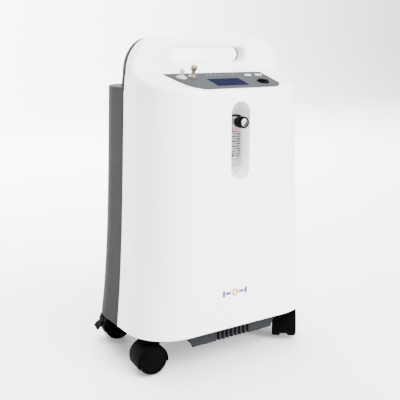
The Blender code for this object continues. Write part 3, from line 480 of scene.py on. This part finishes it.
def handle_loop(outline, y):
    """An outline of the handle at a depth, with one point per ray from the slot's middle."""
    return [(p[0], y, p[1]) for p in (ray(outline, (0, SLOT_Z), a) for a in ANGLES)]


def slot_outline(grow=0.0, depth=1.0):
    """The slot's outline; its two ends run in towards the joint."""
    taper = 0.0055 * sin(pi / 2 * min(1.0, depth))
    return stadium(SLOT_HALF + grow - taper, SLOT_R + grow, 24, dv=SLOT_Z)


# ---------------------------------------------------------------- front shell
def front_shell():
    """The white cover, with the oval opening for the flowmeter."""
    front = shell("front_shell", -1, deck_z, 0.0095, WHITE)
    opening = stadium(RECESS_HALF, RECESS_R, 20, True, RECESS_MID)
    settle(front, [prism("pocket", opening, -0.16, TUB_BACK + 0.0006, WHITE, "Y")])
    bevel(front, 0.0011, 3, 50)
    add(front, "chassis", "front_cover", slot="white_shell")


def handle_front():
    """The white half of the handle: rounded outer edge, then the rounded rim and wall of the slot."""
    loops = [handle_loop(arch(0), HANDLE_SEAM - SEAM)]
    for i in range(9):
        a = pi / 2 * i / 8
        y = -(HANDLE_DEPTH - HANDLE_ROUND + HANDLE_ROUND * sin(a))
        loops.append(handle_loop(arch(HANDLE_ROUND * (1 - cos(a))), y))
    for i in range(7):
        a = pi / 2 * i / 6
        y = -(HANDLE_DEPTH - SLOT_ROUND + SLOT_ROUND * cos(a))
        loops.append(handle_loop(slot_outline(SLOT_ROUND * (1 - sin(a)), 0.25 * i / 6), y))
    for i in range(1, 7):
        y = -(HANDLE_DEPTH - SLOT_ROUND - 0.0075 * i / 6)
        loops.append(handle_loop(slot_outline(0, 0.25 + 0.75 * i / 6), y))
    loops.append(handle_loop(slot_outline(), HANDLE_SEAM - SEAM))
    add(rings("handle_front", loops, WHITE, cyclic=True), "chassis", slot="white_shell")


def handle_cove(steps=60, turns=10):
    """The fillet from the deck up to the handle; it fades out at both ends."""
    knee = (-HANDLE_DEPTH, deck_z(-HANDLE_DEPTH))
    rows = []
    for i in range(steps + 1):
        x = COVE_HALF * (2 * i / steps - 1)
        r = 0.0003 + 0.0147 * min(1.0, (COVE_HALF - abs(x)) / 0.02) ** 0.6
        back = r * tan((pi / 2 - TILT) / 2)
        start = (knee[0] - back * cos(TILT), knee[1] - back * sin(TILT))
        centre = (start[0] - r * sin(TILT), start[1] + r * cos(TILT))
        angles = [TILT - pi / 2 + (pi / 2 - TILT) * j / turns for j in range(turns + 1)]
        rows.append([(x, centre[0] + r * cos(a), centre[1] + r * sin(a)) for a in angles])
    add(sheet("handle_cove", rows, WHITE), "chassis", slot="white_shell")


# ---------------------------------------------------------------- rear shell
def rear_shell():
    """The grey cover, with the recesses for the filter and the mains socket."""
    rear = shell("rear_shell", 1, lambda y: SHOULDER_Z, 0.0022, GREY)
    door_recess = box("door_recess", (-0.052, 0.108, 0.279), (0.052, 0.15, 0.411), GREY)
    inlet_recess = box("inlet_recess", (-0.048, 0.10, 0.1245), (-0.020, 0.15, 0.1455), GREY)
    settle(rear, [door_recess, inlet_recess])
    bevel(rear, 0.0008, 2, 50)
    add(rear, "chassis", "rear_cover", slot="grey_shell")


def handle_rear():
    """The grey half of the handle: a rounded rim that stands behind a thin web."""
    rim_y = HANDLE_REAR - REAR_ROUND
    loops = [handle_loop(arch(0), HANDLE_SEAM + SEAM), handle_loop(arch(0), rim_y)]
    for i in range(1, 5):
        a = pi / 2 * i / 4
        loops.append(handle_loop(arch(REAR_ROUND * (1 - cos(a))), rim_y + REAR_ROUND * sin(a)))
    loops += [
        handle_loop(arch(0.0052), HANDLE_REAR),
        handle_loop(arch(0.0062), HANDLE_REAR - 0.0008),
        handle_loop(arch(0.0064), WEB_REAR + 0.0006),
        handle_loop(arch(0.0072), WEB_REAR),
        handle_loop(slot_outline(0.001), WEB_REAR),
        handle_loop(slot_outline(), WEB_REAR - 0.001),
        handle_loop(slot_outline(), HANDLE_SEAM + SEAM),
    ]
    add(rings("handle_rear", loops, GREY, cyclic=True), "chassis", slot="grey_shell")


# ---------------------------------------------------------------- base tray
def tray_outline(inset=0.0, flare=0.0):
    """The tray's plan: straight sides with a hollow swept out round each caster."""
    front_y, back_y, side = -0.103 + inset, 0.108 - inset, 0.140 - inset
    front_r, rear_r = 0.0680 + inset - flare, 0.0640 + inset - flare
    (px, py), (qx, qy) = FRONT_PIVOT, REAR_PIVOT
    leave = 180 - degrees(asin((front_y - py) / front_r))
    reach = degrees(atan2(sqrt(front_r**2 - (side - px) ** 2), side - px))
    pts = arc(px, py, front_r, leave, reach, 24)
    enter = -degrees(atan2(sqrt(rear_r**2 - (side - qx) ** 2), side - qx))
    end = -180 - degrees(asin((back_y - qy) / rear_r))
    pts += arc(qx, qy, rear_r, enter, end, 22)
    return pts + [(-x, y) for x, y in reversed(pts)]


def base_tray():
    """The tray with its eight vent slots, and the flat plate the casters are fixed to."""
    sections = (  # inset, flare, height
        (0, 0.0170, 0.0700), (0, 0.0120, 0.0665), (0, 0.0066, 0.0615), (0, 0.0028, 0.0560),
        (0, 0.0008, 0.0510), (0, 0, 0.0465), (0.0003, 0, 0.0440), (0.0013, 0, 0.0423),
        (0.003, 0, 0.0415))
    loops = [[(x, y, z) for x, y in tray_outline(inset, flare)] for inset, flare, z in sections]
    tray = rings("tray", loops, TRAY)
    middles = [(k - 3.5) * 0.0095 for k in range(8)]
    settle(tray, [box("vent", (x - 0.0026, -0.113, 0.03), (x + 0.0026, -0.086, 0.0655), TRAY)
                  for x in middles])
    bevel(tray, 0.0006, 2, 50)
    add(tray, "chassis", "base_tray", slot="tray_grey")
    outline = [plan(k, SHELL_Z, -1, 0.0035) for k in range(COUNT)]
    outline += [plan(k, SHELL_Z, 1, 0.0035) for k in reversed(range(COUNT))]
    plate = prism("tray_plate", outline, SHELL_Z - 0.003, SHELL_Z + 0.002, TRAY)
    add(plate, "chassis", slot="tray_grey")


# ---------------------------------------------------------------- control deck
def on_deck(made, x, y, turn=None):
    """Puts a piece on the deck, its local Z along the deck's normal."""
    spin = Matrix.Rotation(TILT, 4, "X")
    if turn is not None:
        spin = spin @ turn
    return at(made, (x, y, deck_z(y)), spin.to_quaternion())


def smooth(points, per):
    """A Catmull-Rom curve through open points, with per steps between two of them."""
    ends = [points[0]] + points + [points[-1]]
    out = []
    for i in range(len(points) - 1):
        a, b, c, d = [Vector((*p, 0)) for p in ends[i:i + 4]]
        for j in range(per):
            t = j / per
            point = 0.5 * (2 * b + (c - a) * t + (2 * a - 5 * b + 4 * c - d) * t * t
                           + (3 * b - a - 3 * c + d) * t ** 3)
            out.append(tuple(point[:2]))
    return out + [points[-1]]


def panel_and_display():
    """The membrane panel, swept along its front edge, and the display window in it."""
    sweep = smooth([(-0.1062, -0.0378), (-0.1030, -0.0560), (-0.0996, -0.0730), (-0.0950, -0.0910),
                    (-0.0880, -0.1042), (-0.0770, -0.1122), (-0.0640, -0.1150)], 8)
    level = sweep + arc(0.0765, -0.0930, 0.0220, -90, -3, 16) + [(0.1000, -0.0392)]
    outline = [(x - LCD_AT[0], (y - LCD_AT[1]) / cos(TILT)) for x, y in level]
    panel = on_deck(prism("panel", outline, PANEL_LOW, PANEL_TOP, PANEL, edge=0.0004), *LCD_AT)
    add(panel, "chassis", "control_panel", slot="panel_grey")
    (u, v), top = LCD_HALF, PANEL_TOP + 0.0003
    lcd = on_deck(box("lcd", (-u, -v, 0.0003), (u, v, top), LCD, 0.0003), *LCD_AT)
    add(lcd, "chassis", "lcd_window", slot="lcd_blue")


def buttons():
    """Two oval caps, each with a ring round it and a printed dot."""
    for key, (x, y) in BUTTONS_AT.items():
        cap = prism(key + "_cap", stadium(0.0072, 0.0042, 14), -0.004, 0.0027, BUTTON, edge=0.0009,
                    segments=4)
        add(on_deck(cap, x, y), key + "_body", key, slot="white_shell")
        ring = prism(key + "_ring", stadium(0.0079, 0.0049, 14), 0.0004, 0.00152, PANEL, edge=0.0002)
        add(on_deck(ring, x, y), "chassis")
        dot = prism(key + "_dot", stadium(0.0022, 0.0010, 10), 0.00264, 0.00282, PANEL)
        add(on_deck(dot, x, y), key + "_body")


def rocker():
    """The round switch: its bezel, its hollowed paddle and the two printed marks."""
    bezel = turned("bezel", [
        (0.0088, -0.012), (0.0088, 0.0037), (0.0092, 0.0043), (0.0100, 0.0044), (0.0107, 0.0039),
        (0.0112, 0.0028), (0.0115, 0.0014), (0.0098, 0.0012), (0.0098, -0.0135), (0.0, -0.0135),
        (0.0, -0.0120), (0.0088, -0.0120)], GLOSS_BLACK, 56)
    add(on_deck(bezel, *ROCKER_AT), "chassis", "rocker_bezel", slot="black_plastic")
    paddle = turned("paddle", [
        (0.0, -0.0035), (0.0080, -0.0035), (0.0080, 0.0062), (0.0075, 0.0068), (0.0, 0.0068)],
        GLOSS_BLACK, 48)
    settle(paddle, [prism("dish", arc(0, 0.0173, 0.0115, 180, 539, 64), -0.02, 0.02, GLOSS_BLACK, "X")])
    bevel(paddle, 0.0003, 2)
    add(on_deck(paddle, *ROCKER_AT, turn=ROCKER_REST), "rocker", "power_rocker", slot="black_plastic")
    mark_on = prism("mark_on", stadium(0.0014, 0.0003, 6, True), 0.0067, 0.0069, INK_PALE)
    mark_off = turned("mark_off", [
        (0.0008, 0.0067), (0.0008, 0.0069), (0.0014, 0.0069), (0.0014, 0.0067), (0.0008, 0.0067)],
        INK_PALE, 24)
    for mark, shift in ((mark_on, -0.0054), (mark_off, 0.0052)):
        on_deck(mark, *ROCKER_AT, turn=ROCKER_REST)
        mark.location += Matrix.Rotation(TILT, 3, "X") @ (ROCKER_REST.to_3x3() @ Vector((0, shift, 0)))
        add(mark, "rocker")


def outlets():
    """The plated oxygen nozzle and the clear nebuliser nozzle."""
    oxygen = turned("oxygen_nozzle", [
        (0.0013, 0.010), (0.0013, 0.0225), (0.0040, 0.0226), (0.0047, 0.0221), (0.0055, 0.0212),
        (0.0056, 0.0165), (0.0052, 0.0150), (0.0044, 0.0139), (0.0031, 0.0133), (0.0030, 0.0078),
        (0.0035, 0.0060), (0.0048, 0.0048), (0.0062, 0.0044), (0.0066, 0.0040), (0.0066, 0.0034),
        (0.0075, 0.0031), (0.0077, 0.0026), (0.0077, 0.0012), (0.0040, 0.0012), (0.0040, -0.008)],
        NICKEL, 48)
    add(on_deck(oxygen, *OXYGEN_AT), "chassis", "oxygen_outlet", slot="nickel")
    clear = turned("clear_nozzle", [
        (0.0013, 0.006), (0.0013, 0.0160), (0.0026, 0.0162), (0.0034, 0.0156), (0.0042, 0.0140),
        (0.0046, 0.0120), (0.0043, 0.0104), (0.0032, 0.0090), (0.0031, 0.0080), (0.0040, 0.0062),
        (0.0052, 0.0046), (0.0078, 0.0033), (0.0089, 0.0026), (0.0091, 0.0020), (0.0090, 0.0012),
        (0.0040, 0.0012), (0.0040, -0.008)], FROST, 48)
    add(on_deck(clear, *NEBULISER_AT), "chassis", "nebuliser_outlet", slot="clear_plastic")


def printed_symbols():
    """A row of faint dashes above the display."""
    for k in range(7):
        half = 0.0022 if k % 3 else 0.0030
        mark = prism(f"symbol_{k}", stadium(half, 0.0007, 6), PANEL_TOP, 0.00152, INK_PALE)
        add(on_deck(mark, -0.026 + 0.0093 * k, -0.0505), "chassis")


# ---------------------------------------------------------------- flowmeter
def recess_tub():
    """The oval liner: wall, rounded foot and a flat back, open to the front."""
    loops = []
    for grow, y in ((-0.0003, -0.1168), (-0.0006, -0.1160), (-0.0006, -0.0885), (-0.0012, -0.0870),
                    (-0.0028, -0.0858)):
        outline = stadium(RECESS_HALF + grow, RECESS_R + grow, 24, True, RECESS_MID)
        loops.append([(u, y, v) for u, v in outline])
    back = stadium(0.0580, 0.0100, 24, True, RECESS_MID)
    loops.append([(u, -0.0856, v) for u, v in back])
    tub = rings("tub", loops, WHITE, cap=False)
    bm = bmesh.new()
    bm.from_mesh(tub.data)
    bm.verts.ensure_lookup_table()
    bm.faces.new(bm.verts[-len(back):])
    bm.to_mesh(tub.data)
    bm.free()
    tub.data.shade_smooth()
    tub.data.set_sharp_from_angle(angle=radians(50))
    add(tub, "chassis", "recess_tub", slot="white_shell")


def meter_block():
    """The clear block with the tube in it, a pale backing behind and a dark cap on top."""
    low, high = METER_Z
    meter = box("meter", (-METER_HALF, METER_Y, low), (METER_HALF, TUB_BACK - 0.0006, high), CLEAR,
                0.0009)
    add(meter, "chassis", "flowmeter_body", slot="clear_plastic")
    backing = box("meter_backing", (-0.0134, -0.0897, low + 0.0006),
                  (0.0134, TUB_BACK - 0.0010, high - 0.0006), BACKING, 0.0003)
    add(backing, "chassis")
    cap = box("meter_cap", (-0.0142, METER_Y - 0.0002, high - 0.0020),
              (0.0142, TUB_BACK - 0.0006, high + 0.0002), GLOSS_BLACK, 0.0004)
    add(cap, "chassis")
    tube = turned("meter_tube", [
        (0.0043, low + 0.012), (0.0043, 0.4340), (0.0036, 0.4340), (0.0036, low + 0.012)], TUBE, 32)
    add(at(tube, (0, TUBE_Y, 0)), "chassis")


def print_line(name, left, right, low, high, mat):
    """A printed line that stands just proud of the clear block."""
    add(box(name, (left, INK_Y - 0.00012, low), (right, INK_Y + 0.0002, high), mat), "chassis")


def meter_scale():
    """Eleven half-litre ticks with numbers at the whole litres, the red line and the unit."""
    for half in range(11):
        z = SCALE_ZERO + PER_LITRE * half / 2
        left = -0.0008 if half % 2 else -0.0060
        print_line(f"tick_{half}", left, 0.0129, z - 0.00075, z + 0.00075, PRINT_AND_REFLECTION)
        if half % 2 == 0:
            litre = half // 2
            add(printed(f"digit_{litre}", str(litre), 0.0060, -0.0106, z), "chassis")
    print_line("red_line", -0.0125, 0.0125, 0.4293, 0.4310, RED)
    add(printed("unit", "L/min", 0.0056, 0.0020, 0.3765), "chassis")


def meter_foot_and_ball():
    """The block's lower fitting, and the ball at rest low in the tube."""
    foot = turned("meter_foot", [
        (0.0, 0.001), (0.0038, 0.001), (0.0040, -0.0050), (0.0058, -0.0054), (0.0062, -0.0060),
        (0.0062, -0.0098), (0.0056, -0.0104), (0.0032, -0.0112), (0.0032, -0.0140), (0.0, -0.0140)],
        FROST, 32)
    add(at(foot, (0, -0.0926, METER_Z[0] + 0.0045)), "chassis", "meter_inlet", slot="nickel")
    bm = bmesh.new()
    bmesh.ops.create_uvsphere(bm, u_segments=32, v_segments=20, radius=0.0032)
    ball = at(from_bm("ball", bm, GLOSS_BLACK), (0, TUBE_Y, 0.3845))
    add(ball, "float", "float_ball", slot="black_plastic")


def knob_loops():
    """The knob's outline at rising heights, fluted between its two ends."""
    count = KNOB_RIBS * 6
    loops = []
    for grow, h in ((-0.0030, 0.0122), (-0.0006, 0.0124), (0.0, 0.0132), (0.0, 0.0288),
                    (-0.0004, 0.0300), (-0.0010, 0.0305), (-0.0030, 0.0305), (-0.0034, 0.0300)):
        flute = 0.00045 if 0.0130 < h < 0.0295 else 0.0
        loop = []
        for i in range(count):
            a = 2 * pi * i / count
            r = KNOB_R + grow - flute * max(0.0, cos(KNOB_RIBS * a))
            loop.append((r * cos(a), r * sin(a), h))
        loops.append(loop)
    return loops


def valve_and_knob():
    """The needle valve's bonnet and stem, and the fluted knob with its silver end, which has a painted
    dark reflection on it.
    """
    bonnet = turned("bonnet", [
        (0.0023, 0.0031), (0.0060, 0.0031), (0.0068, 0.0026), (0.0070, 0.0020), (0.0070, 0.0003),
        (0.0042, 0.0003), (0.0042, -0.005)], CAP_SILVER, 40)
    add(at(bonnet, KNOB_AT, FORWARDS), "chassis", "flow_valve_bonnet", slot="nickel")
    stem = turned("stem", [(0.0, 0.018), (0.0019, 0.018), (0.0019, -0.006), (0.0, -0.008)], STEEL, 24)
    add(at(stem, KNOB_AT, FORWARDS), "knob", "valve_stem", slot="steel")
    knob = rings("knob_body", knob_loops(), GLOSS_BLACK)
    neck = turned("knob_neck", [
        (0.0022, 0.0036), (0.0052, 0.0036), (0.0058, 0.0042), (0.0058, 0.0125), (0.0022, 0.0125)],
        CAP_SILVER, 40)
    add(at(neck, KNOB_AT, FORWARDS), "knob")
    add(at(knob, KNOB_AT, FORWARDS), "knob", "flow_knob", slot="black_plastic")
    disc = turned("knob_disc", [
        (0.0, 0.0304), (0.0060, 0.0304), (0.0066, 0.0301), (0.0068, 0.0296), (0.0, 0.0296)],
        CAP_SILVER, 48)
    add(at(disc, KNOB_AT, FORWARDS), "knob")
    # painted reflection: a dark crescent on the silver disc stands in for the dark reflection the metal
    # shows
    crescent = arc(0, 0, 0.0055, -105, 25, 20) + arc(-0.0009, 0.0010, 0.0043, 20, -100, 20)
    painted_disc_reflection = prism("painted_disc_reflection", crescent, 0.0303, 0.0306, PRINT_AND_REFLECTION)
    add(at(painted_disc_reflection, KNOB_AT, FORWARDS), "knob")


# ---------------------------------------------------------------- emblem low on the front
def emblem():
    """Two upright bars, two lying ones and a ring between them."""
    y = -depth_at(EMBLEM_Z, -1)
    upright, lying = stadium(0.0064, 0.0026, 8, True), stadium(0.0062, 0.0024, 8)
    bars = ((-0.0330, upright), (0.0154, upright), (EMBLEM_X - 0.0145, lying),
            (EMBLEM_X + 0.0145, lying))
    for k, (x, outline) in enumerate(bars):
        bar = prism(f"emblem_{k}", outline, -0.0002, 0.0002, BLUE, "Y")
        add(at(bar, (x, y, EMBLEM_Z)), "chassis")
    ring = turned("emblem_ring", [
        (0.0030, -0.0002), (0.0066, -0.0002), (0.0066, 0.0002), (0.0030, 0.0002),
        (0.0030, -0.0002)], ORANGE, 40)
    add(at(ring, (EMBLEM_X, y, EMBLEM_Z), FORWARDS), "chassis")


# ---------------------------------------------------------------- back
def filter_door():
    """The louvred door of the cabinet filter, and the foam behind it."""
    face = depth_at(DOOR_Z, 1)
    wide, tall = DOOR_HALF
    door = box("door", (-wide, face + 0.0009, DOOR_Z - tall), (wide, face + 0.0032, DOOR_Z + tall), GREY)
    u, v = LOUVRE_HALF
    louvres = []
    for i in range(LOUVRE_ROWS):
        z = DOOR_Z - LOUVRE_SPAN / 2 + i * LOUVRE_SPAN / (LOUVRE_ROWS - 1)
        louvres.append(box("louvre", (-u, face - 0.02, z - v), (u, face + 0.02, z + v), GREY))
    settle(door, louvres)
    bevel(door, 0.0007, 2)
    add(door, "door", "filter_door", slot="grey_shell")
    foam = box("foam", (-0.0495, face - 0.0125, 0.2815), (0.0495, face - 0.0045, 0.4085), FOAM, 0.002)
    add(foam, "door", "filter_foam", slot="foam")


def power_inlet():
    """The mains socket: a flange and a hollow shroud with three pins and two screws."""
    x, z = INLET_AT
    face = depth_at(z, 1)
    inlet = box("inlet", (x - 0.025, face + 0.0015, z - 0.014), (x + 0.025, face + 0.0036, z + 0.014),
                BLACK)
    walls = box("inlet_walls", (x - 0.0137, face - 0.0195, z - 0.010),
                (x + 0.0137, face + 0.0020, z + 0.010), BLACK)
    settle(inlet, [walls], "UNION")
    mouth = box("mouth", (x - 0.0118, face - 0.0165, z - 0.0083),
                (x + 0.0118, face + 0.01, z + 0.0083), BLACK)
    settle(inlet, [mouth])
    bevel(inlet, 0.0006, 2)
    add(inlet, "chassis", "power_inlet", slot="black_plastic")
    for k, (dx, dz) in enumerate(((0, 0.003), (-0.007, -0.002), (0.007, -0.002))):
        u, v = PIN_HALF
        pin = box(f"pin_{k}", (x + dx - u, face - 0.018, z + dz - v),
                  (x + dx + u, face - 0.003, z + dz + v), BRASS, 0.0003)
        add(pin, "chassis")
    for k, dx in enumerate((-SCREW_AT, SCREW_AT)):
        screw = turned(f"inlet_screw_{k}", [
            (0.0, 0.0012), (0.0012, 0.0011), (0.0022, 0.0006), (0.0025, 0.0), (0.0, 0.0)], STEEL, 24)
        add(at(screw, (x + dx, face + 0.0036, z), BACKWARDS), "chassis")


def breaker():
    """The breaker's round body with its reset button."""
    x, z = BREAKER_AT
    place = (x, depth_at(z, 1), z)
    body = turned("breaker", [
        (0.0035, -0.018), (0.0035, 0.0032), (0.0076, 0.0032), (0.0083, 0.0027), (0.0085, 0.0020),
        (0.0085, 0.0004), (0.0060, 0.0004), (0.0060, -0.02)], BLACK, 40)
    add(at(body, place, BACKWARDS), "chassis", "breaker_body", slot="black_plastic")
    reset = turned("reset", [
        (0.0, 0.0067), (0.0024, 0.0066), (0.0031, 0.0060), (0.0032, 0.0052), (0.0032, -0.011),
        (0.0, -0.011)], BUTTON, 32)
    add(at(reset, place, BACKWARDS), "reset", "breaker_button", slot="white_shell")


# ---------------------------------------------------------------- casters
def cylinder(name, r, low, high):
    """A flat cylinder along the axle, to cut or join with."""
    return prism(name, arc(0, 0, r, 0, 354, 60), low, high, BLACK, "X")


def caster_stem(label):
    """The swivel stem under the tray's plate."""
    return turned(label + "_stem_look", [
        (0.0, PLATE_Z - 0.0001), (0.0128, PLATE_Z - 0.0001), (0.0130, PLATE_Z - 0.0022),
        (0.0122, PLATE_Z - 0.0030), (0.0046, PLATE_Z - 0.0036), (0.0045, 0.0515), (0.0, 0.0505)],
        STEEL, 40)


def caster_hood(label, braked):
    """The hood over both wheels: a rounded shell, a web between them and the boss for the stem."""
    hood = prism(label + "_hood_look", arc(0, 0, 0.0289, -30, 190, 60), -HOOD_HALF, HOOD_HALF, BLACK,
                 "X")
    bevel(hood, 0.0022, 4, 50)
    settle(hood)
    settle(hood, [cylinder("inner", WHEEL_R + 0.0009, -HOOD_HALF - 0.01, HOOD_HALF + 0.01)])
    web = cylinder("web", WHEEL_R + 0.0012, -0.0061, 0.0061)
    boss = turned("boss", [
        (0.0, PLATE_Z - 0.0045), (0.0100, PLATE_Z - 0.0045), (0.0108, PLATE_Z - 0.0055),
        (0.0112, 0.036), (0.0, 0.036)], BLACK, 48)
    boss.location = BASE + Vector((0, -TRAIL, -WHEEL_R))
    settle(hood, [web, boss], "UNION")
    tools = [cylinder("left_space", WHEEL_R + 0.0008, -HOOD_HALF - 0.02, -0.0062),
             cylinder("right_space", WHEEL_R + 0.0008, 0.0062, HOOD_HALF + 0.02),
             box("under", (-0.05, -0.05, -0.05), (0.05, 0.05, -0.0138), BLACK)]
    if braked:
        tools.append(box("notch", (-0.0095, 0.0208, 0.002), (0.0095, 0.0390, 0.019), BLACK))
    settle(hood, tools)
    bevel(hood, 0.0004, 2, 45)
    return hood


def caster_axle(label):
    """The pin through both wheels, with chamfered ends."""
    end = HOOD_HALF - 0.0030
    return turned(label + "_axle_look", [
        (0.0, end), (0.0026, end - 0.0002), (0.0030, end - 0.0008), (0.0030, -end + 0.0008),
        (0.0026, -end + 0.0002), (0.0, -end)], STEEL, 28)


def tread(name):
    """The tyre of one wheel: a rounded outer edge on both sides."""
    w = WHEEL_W / 2
    edge = ((0.0045, 0.0006), (0.0038, 0.0), (0.0022, 0.0001), (0.0010, 0.0008), (0.0002, 0.0022),
            (0.0, 0.0035))
    profile = [(WHEEL_R - down, w - back) for down, back in edge]
    return turned(name, profile + [(r, -h) for r, h in reversed(profile)], RUBBER, 72)


def wheel_disc(name):
    """The wheel's centre, inside its tyre."""
    w = WHEEL_W / 2
    return turned(name, [
        (0.0, w - 0.0004), (0.0170, w - 0.0002), (0.0196, w - 0.0003), (0.0206, w - 0.0006),
        (0.0211, w - 0.0012), (WHEEL_R - 0.0044, w - 0.0014), (WHEEL_R - 0.0044, -w + 0.0010),
        (0.0034, -w + 0.0010)], DISC, 72)


def brake_lever(label):
    """A lever with a wider pad, three grooves across it and a narrow root."""
    lever = box(label + "_lever_look", (-0.0088, 0.0, -0.0022), (0.0088, 0.0190, 0.0012), BLACK)
    pad = box("pad", (-0.0120, 0.0080, -0.0022), (0.0120, 0.0200, 0.0020), BLACK)
    root = box("root", (-0.0055, -0.0045, -0.0018), (0.0055, 0.0020, 0.0010), BLACK)
    settle(lever, [pad, root], "UNION")
    settle(lever, [box("groove", (-0.0105, y, 0.0014), (0.0105, y + 0.0012, 0.01), BLACK)
                   for y in (0.0100, 0.0128, 0.0156)])
    bevel(lever, 0.0006, 2)
    return lever


def caster(label, pivot, trail, braked):
    """One twin-wheel caster; trail is the way its wheels lag behind the pivot."""
    turn = Matrix.Rotation(atan2(-trail[0], trail[1]), 4, "Z")
    body = label + "_caster"

    def put(made, offset=(0, 0, 0), spin=None):
        """Puts a piece at an offset from the pivot's foot, turned with the caster."""
        made.location = BASE + Vector((*pivot, FLOOR_Z)) + turn.to_3x3() @ Vector(offset)
        made.rotation_mode = "QUATERNION"
        made.rotation_quaternion = (turn @ (spin or Matrix.Identity(4))).to_quaternion()
        return made

    add(put(caster_stem(label)), "chassis", label + "_stem", slot="steel")
    hood = put(caster_hood(label, braked), (0, TRAIL, WHEEL_R))
    add(hood, body, label + "_hood", slot="black_plastic")
    axle = put(caster_axle(label), (0, TRAIL, WHEEL_R), Matrix.Rotation(pi / 2, 4, "Y"))
    add(axle, body, label + "_axle", slot="steel")
    for side, way in (("left", -1), ("right", 1)):
        roller, middle = f"{label}_roller_{side}", (way * WHEEL_AT, TRAIL, WHEEL_R)
        outwards = Matrix.Rotation(way * pi / 2, 4, "Y")
        tyre = put(tread(f"{label}_tread_{side}"), middle, outwards)
        add(tyre, roller, f"{label}_wheel_{side}", slot="tread_rubber")
        add(put(wheel_disc(f"{label}_disc_{side}"), middle, outwards), roller)
    if braked:
        lever = put(brake_lever(label), (0, TRAIL + 0.0268, WHEEL_R + 0.0105),
                    Matrix.Rotation(radians(-48), 4, "X"))
        add(lever, label + "_lever", label + "_brake", slot="black_plastic")


# ---------------------------------------------------------------- floor, light, camera
def studio_floor():
    """A level floor that sweeps up into a wall behind the machine."""
    white = material("floor_white", (0.99, 0.99, 0.99), 0.7, vary=0.004, bump=0.01, grain=60)
    section = [(-5 + 9 * i / 12, -0.0001) for i in range(12)]
    for i in range(13):
        a = pi / 2 * i / 12
        section.append((4 + 1.5 * sin(a), 1.5 * (1 - cos(a)) - 0.0001))
    section.append((5.5, 6))
    sheet("floor", [[(9, y, z), (-9, y, z)] for y, z in section], white)


def light(name, where, target, size, power):
    """A rectangular lamp that faces the target."""
    data = bpy.data.lights.new(name, "AREA")
    data.shape = "RECTANGLE"
    data.size, data.size_y = size
    data.energy = power
    made = link(name, data)
    made.location = where
    made.rotation_mode = "QUATERNION"
    made.rotation_quaternion = (Vector(where) - Vector(target)).to_track_quat("Z", "Y")


def surroundings():
    light("key", (1.3, -2.8, 1.5), (0, 0, 0.3), (2.2, 1.8), 300)
    light("high_front", (-0.2, -2.0, 3.0), (0, 0, 0.45), (1.8, 1.4), 170)
    light("top", (0.0, 0.4, 3.0), (0, 0, 0), (3.0, 3.0), 170)
    light("left", (-2.6, -0.2, 1.2), (0, 0, 0.3), (1.4, 1.8), 4)
    light("back", (1.0, 2.8, 1.8), (0, 0, 0.3), (2.4, 1.6), 45)
    light("wall", (0.0, 1.6, 3.4), (0, 5.5, 1.2), (5.0, 1.6), 1500)
    world = bpy.data.worlds.new("studio")
    world.use_nodes = True
    background = world.node_tree.nodes["Background"]
    background.inputs["Color"].default_value = (1, 1, 1, 1)
    background.inputs["Strength"].default_value = 0.75
    bpy.context.scene.world = world


def photo_camera():
    """The camera as fitted to the photo: to the left of the front, looking slightly down."""
    data = bpy.data.cameras.new("camera")
    camera = link("camera", data)
    data.sensor_width = 36
    data.lens = 63.4
    data.clip_start = 0.05
    camera.location = BASE + Vector((-0.7197, -1.0971, 0.5802))
    right = Vector((0.83832, -0.54518, 0.0))
    back = Vector((-0.53182, -0.81778, 0.21999))
    camera.rotation_mode = "QUATERNION"
    camera.rotation_quaternion = Matrix((right, back.cross(right), back)).transposed().to_quaternion()
    bpy.context.scene.camera = camera


# ---------------------------------------------------------------- the machine
front_shell()
handle_front()
handle_cove()
rear_shell()
handle_rear()
base_tray()
panel_and_display()
buttons()
rocker()
outlets()
printed_symbols()
recess_tub()
meter_block()
meter_scale()
meter_foot_and_ball()
valve_and_knob()
emblem()
filter_door()
power_inlet()
breaker()
caster("front_left", (-FRONT_PIVOT[0], FRONT_PIVOT[1]), (-0.993, 0.117), False)
caster("front_right", FRONT_PIVOT, (-0.610, -0.792), False)
caster("rear_left", (-REAR_PIVOT[0], REAR_PIVOT[1]), (-0.977, 0.212), True)
caster("rear_right", REAR_PIVOT, (0.60, -0.80), True)
studio_floor()
surroundings()
photo_camera()
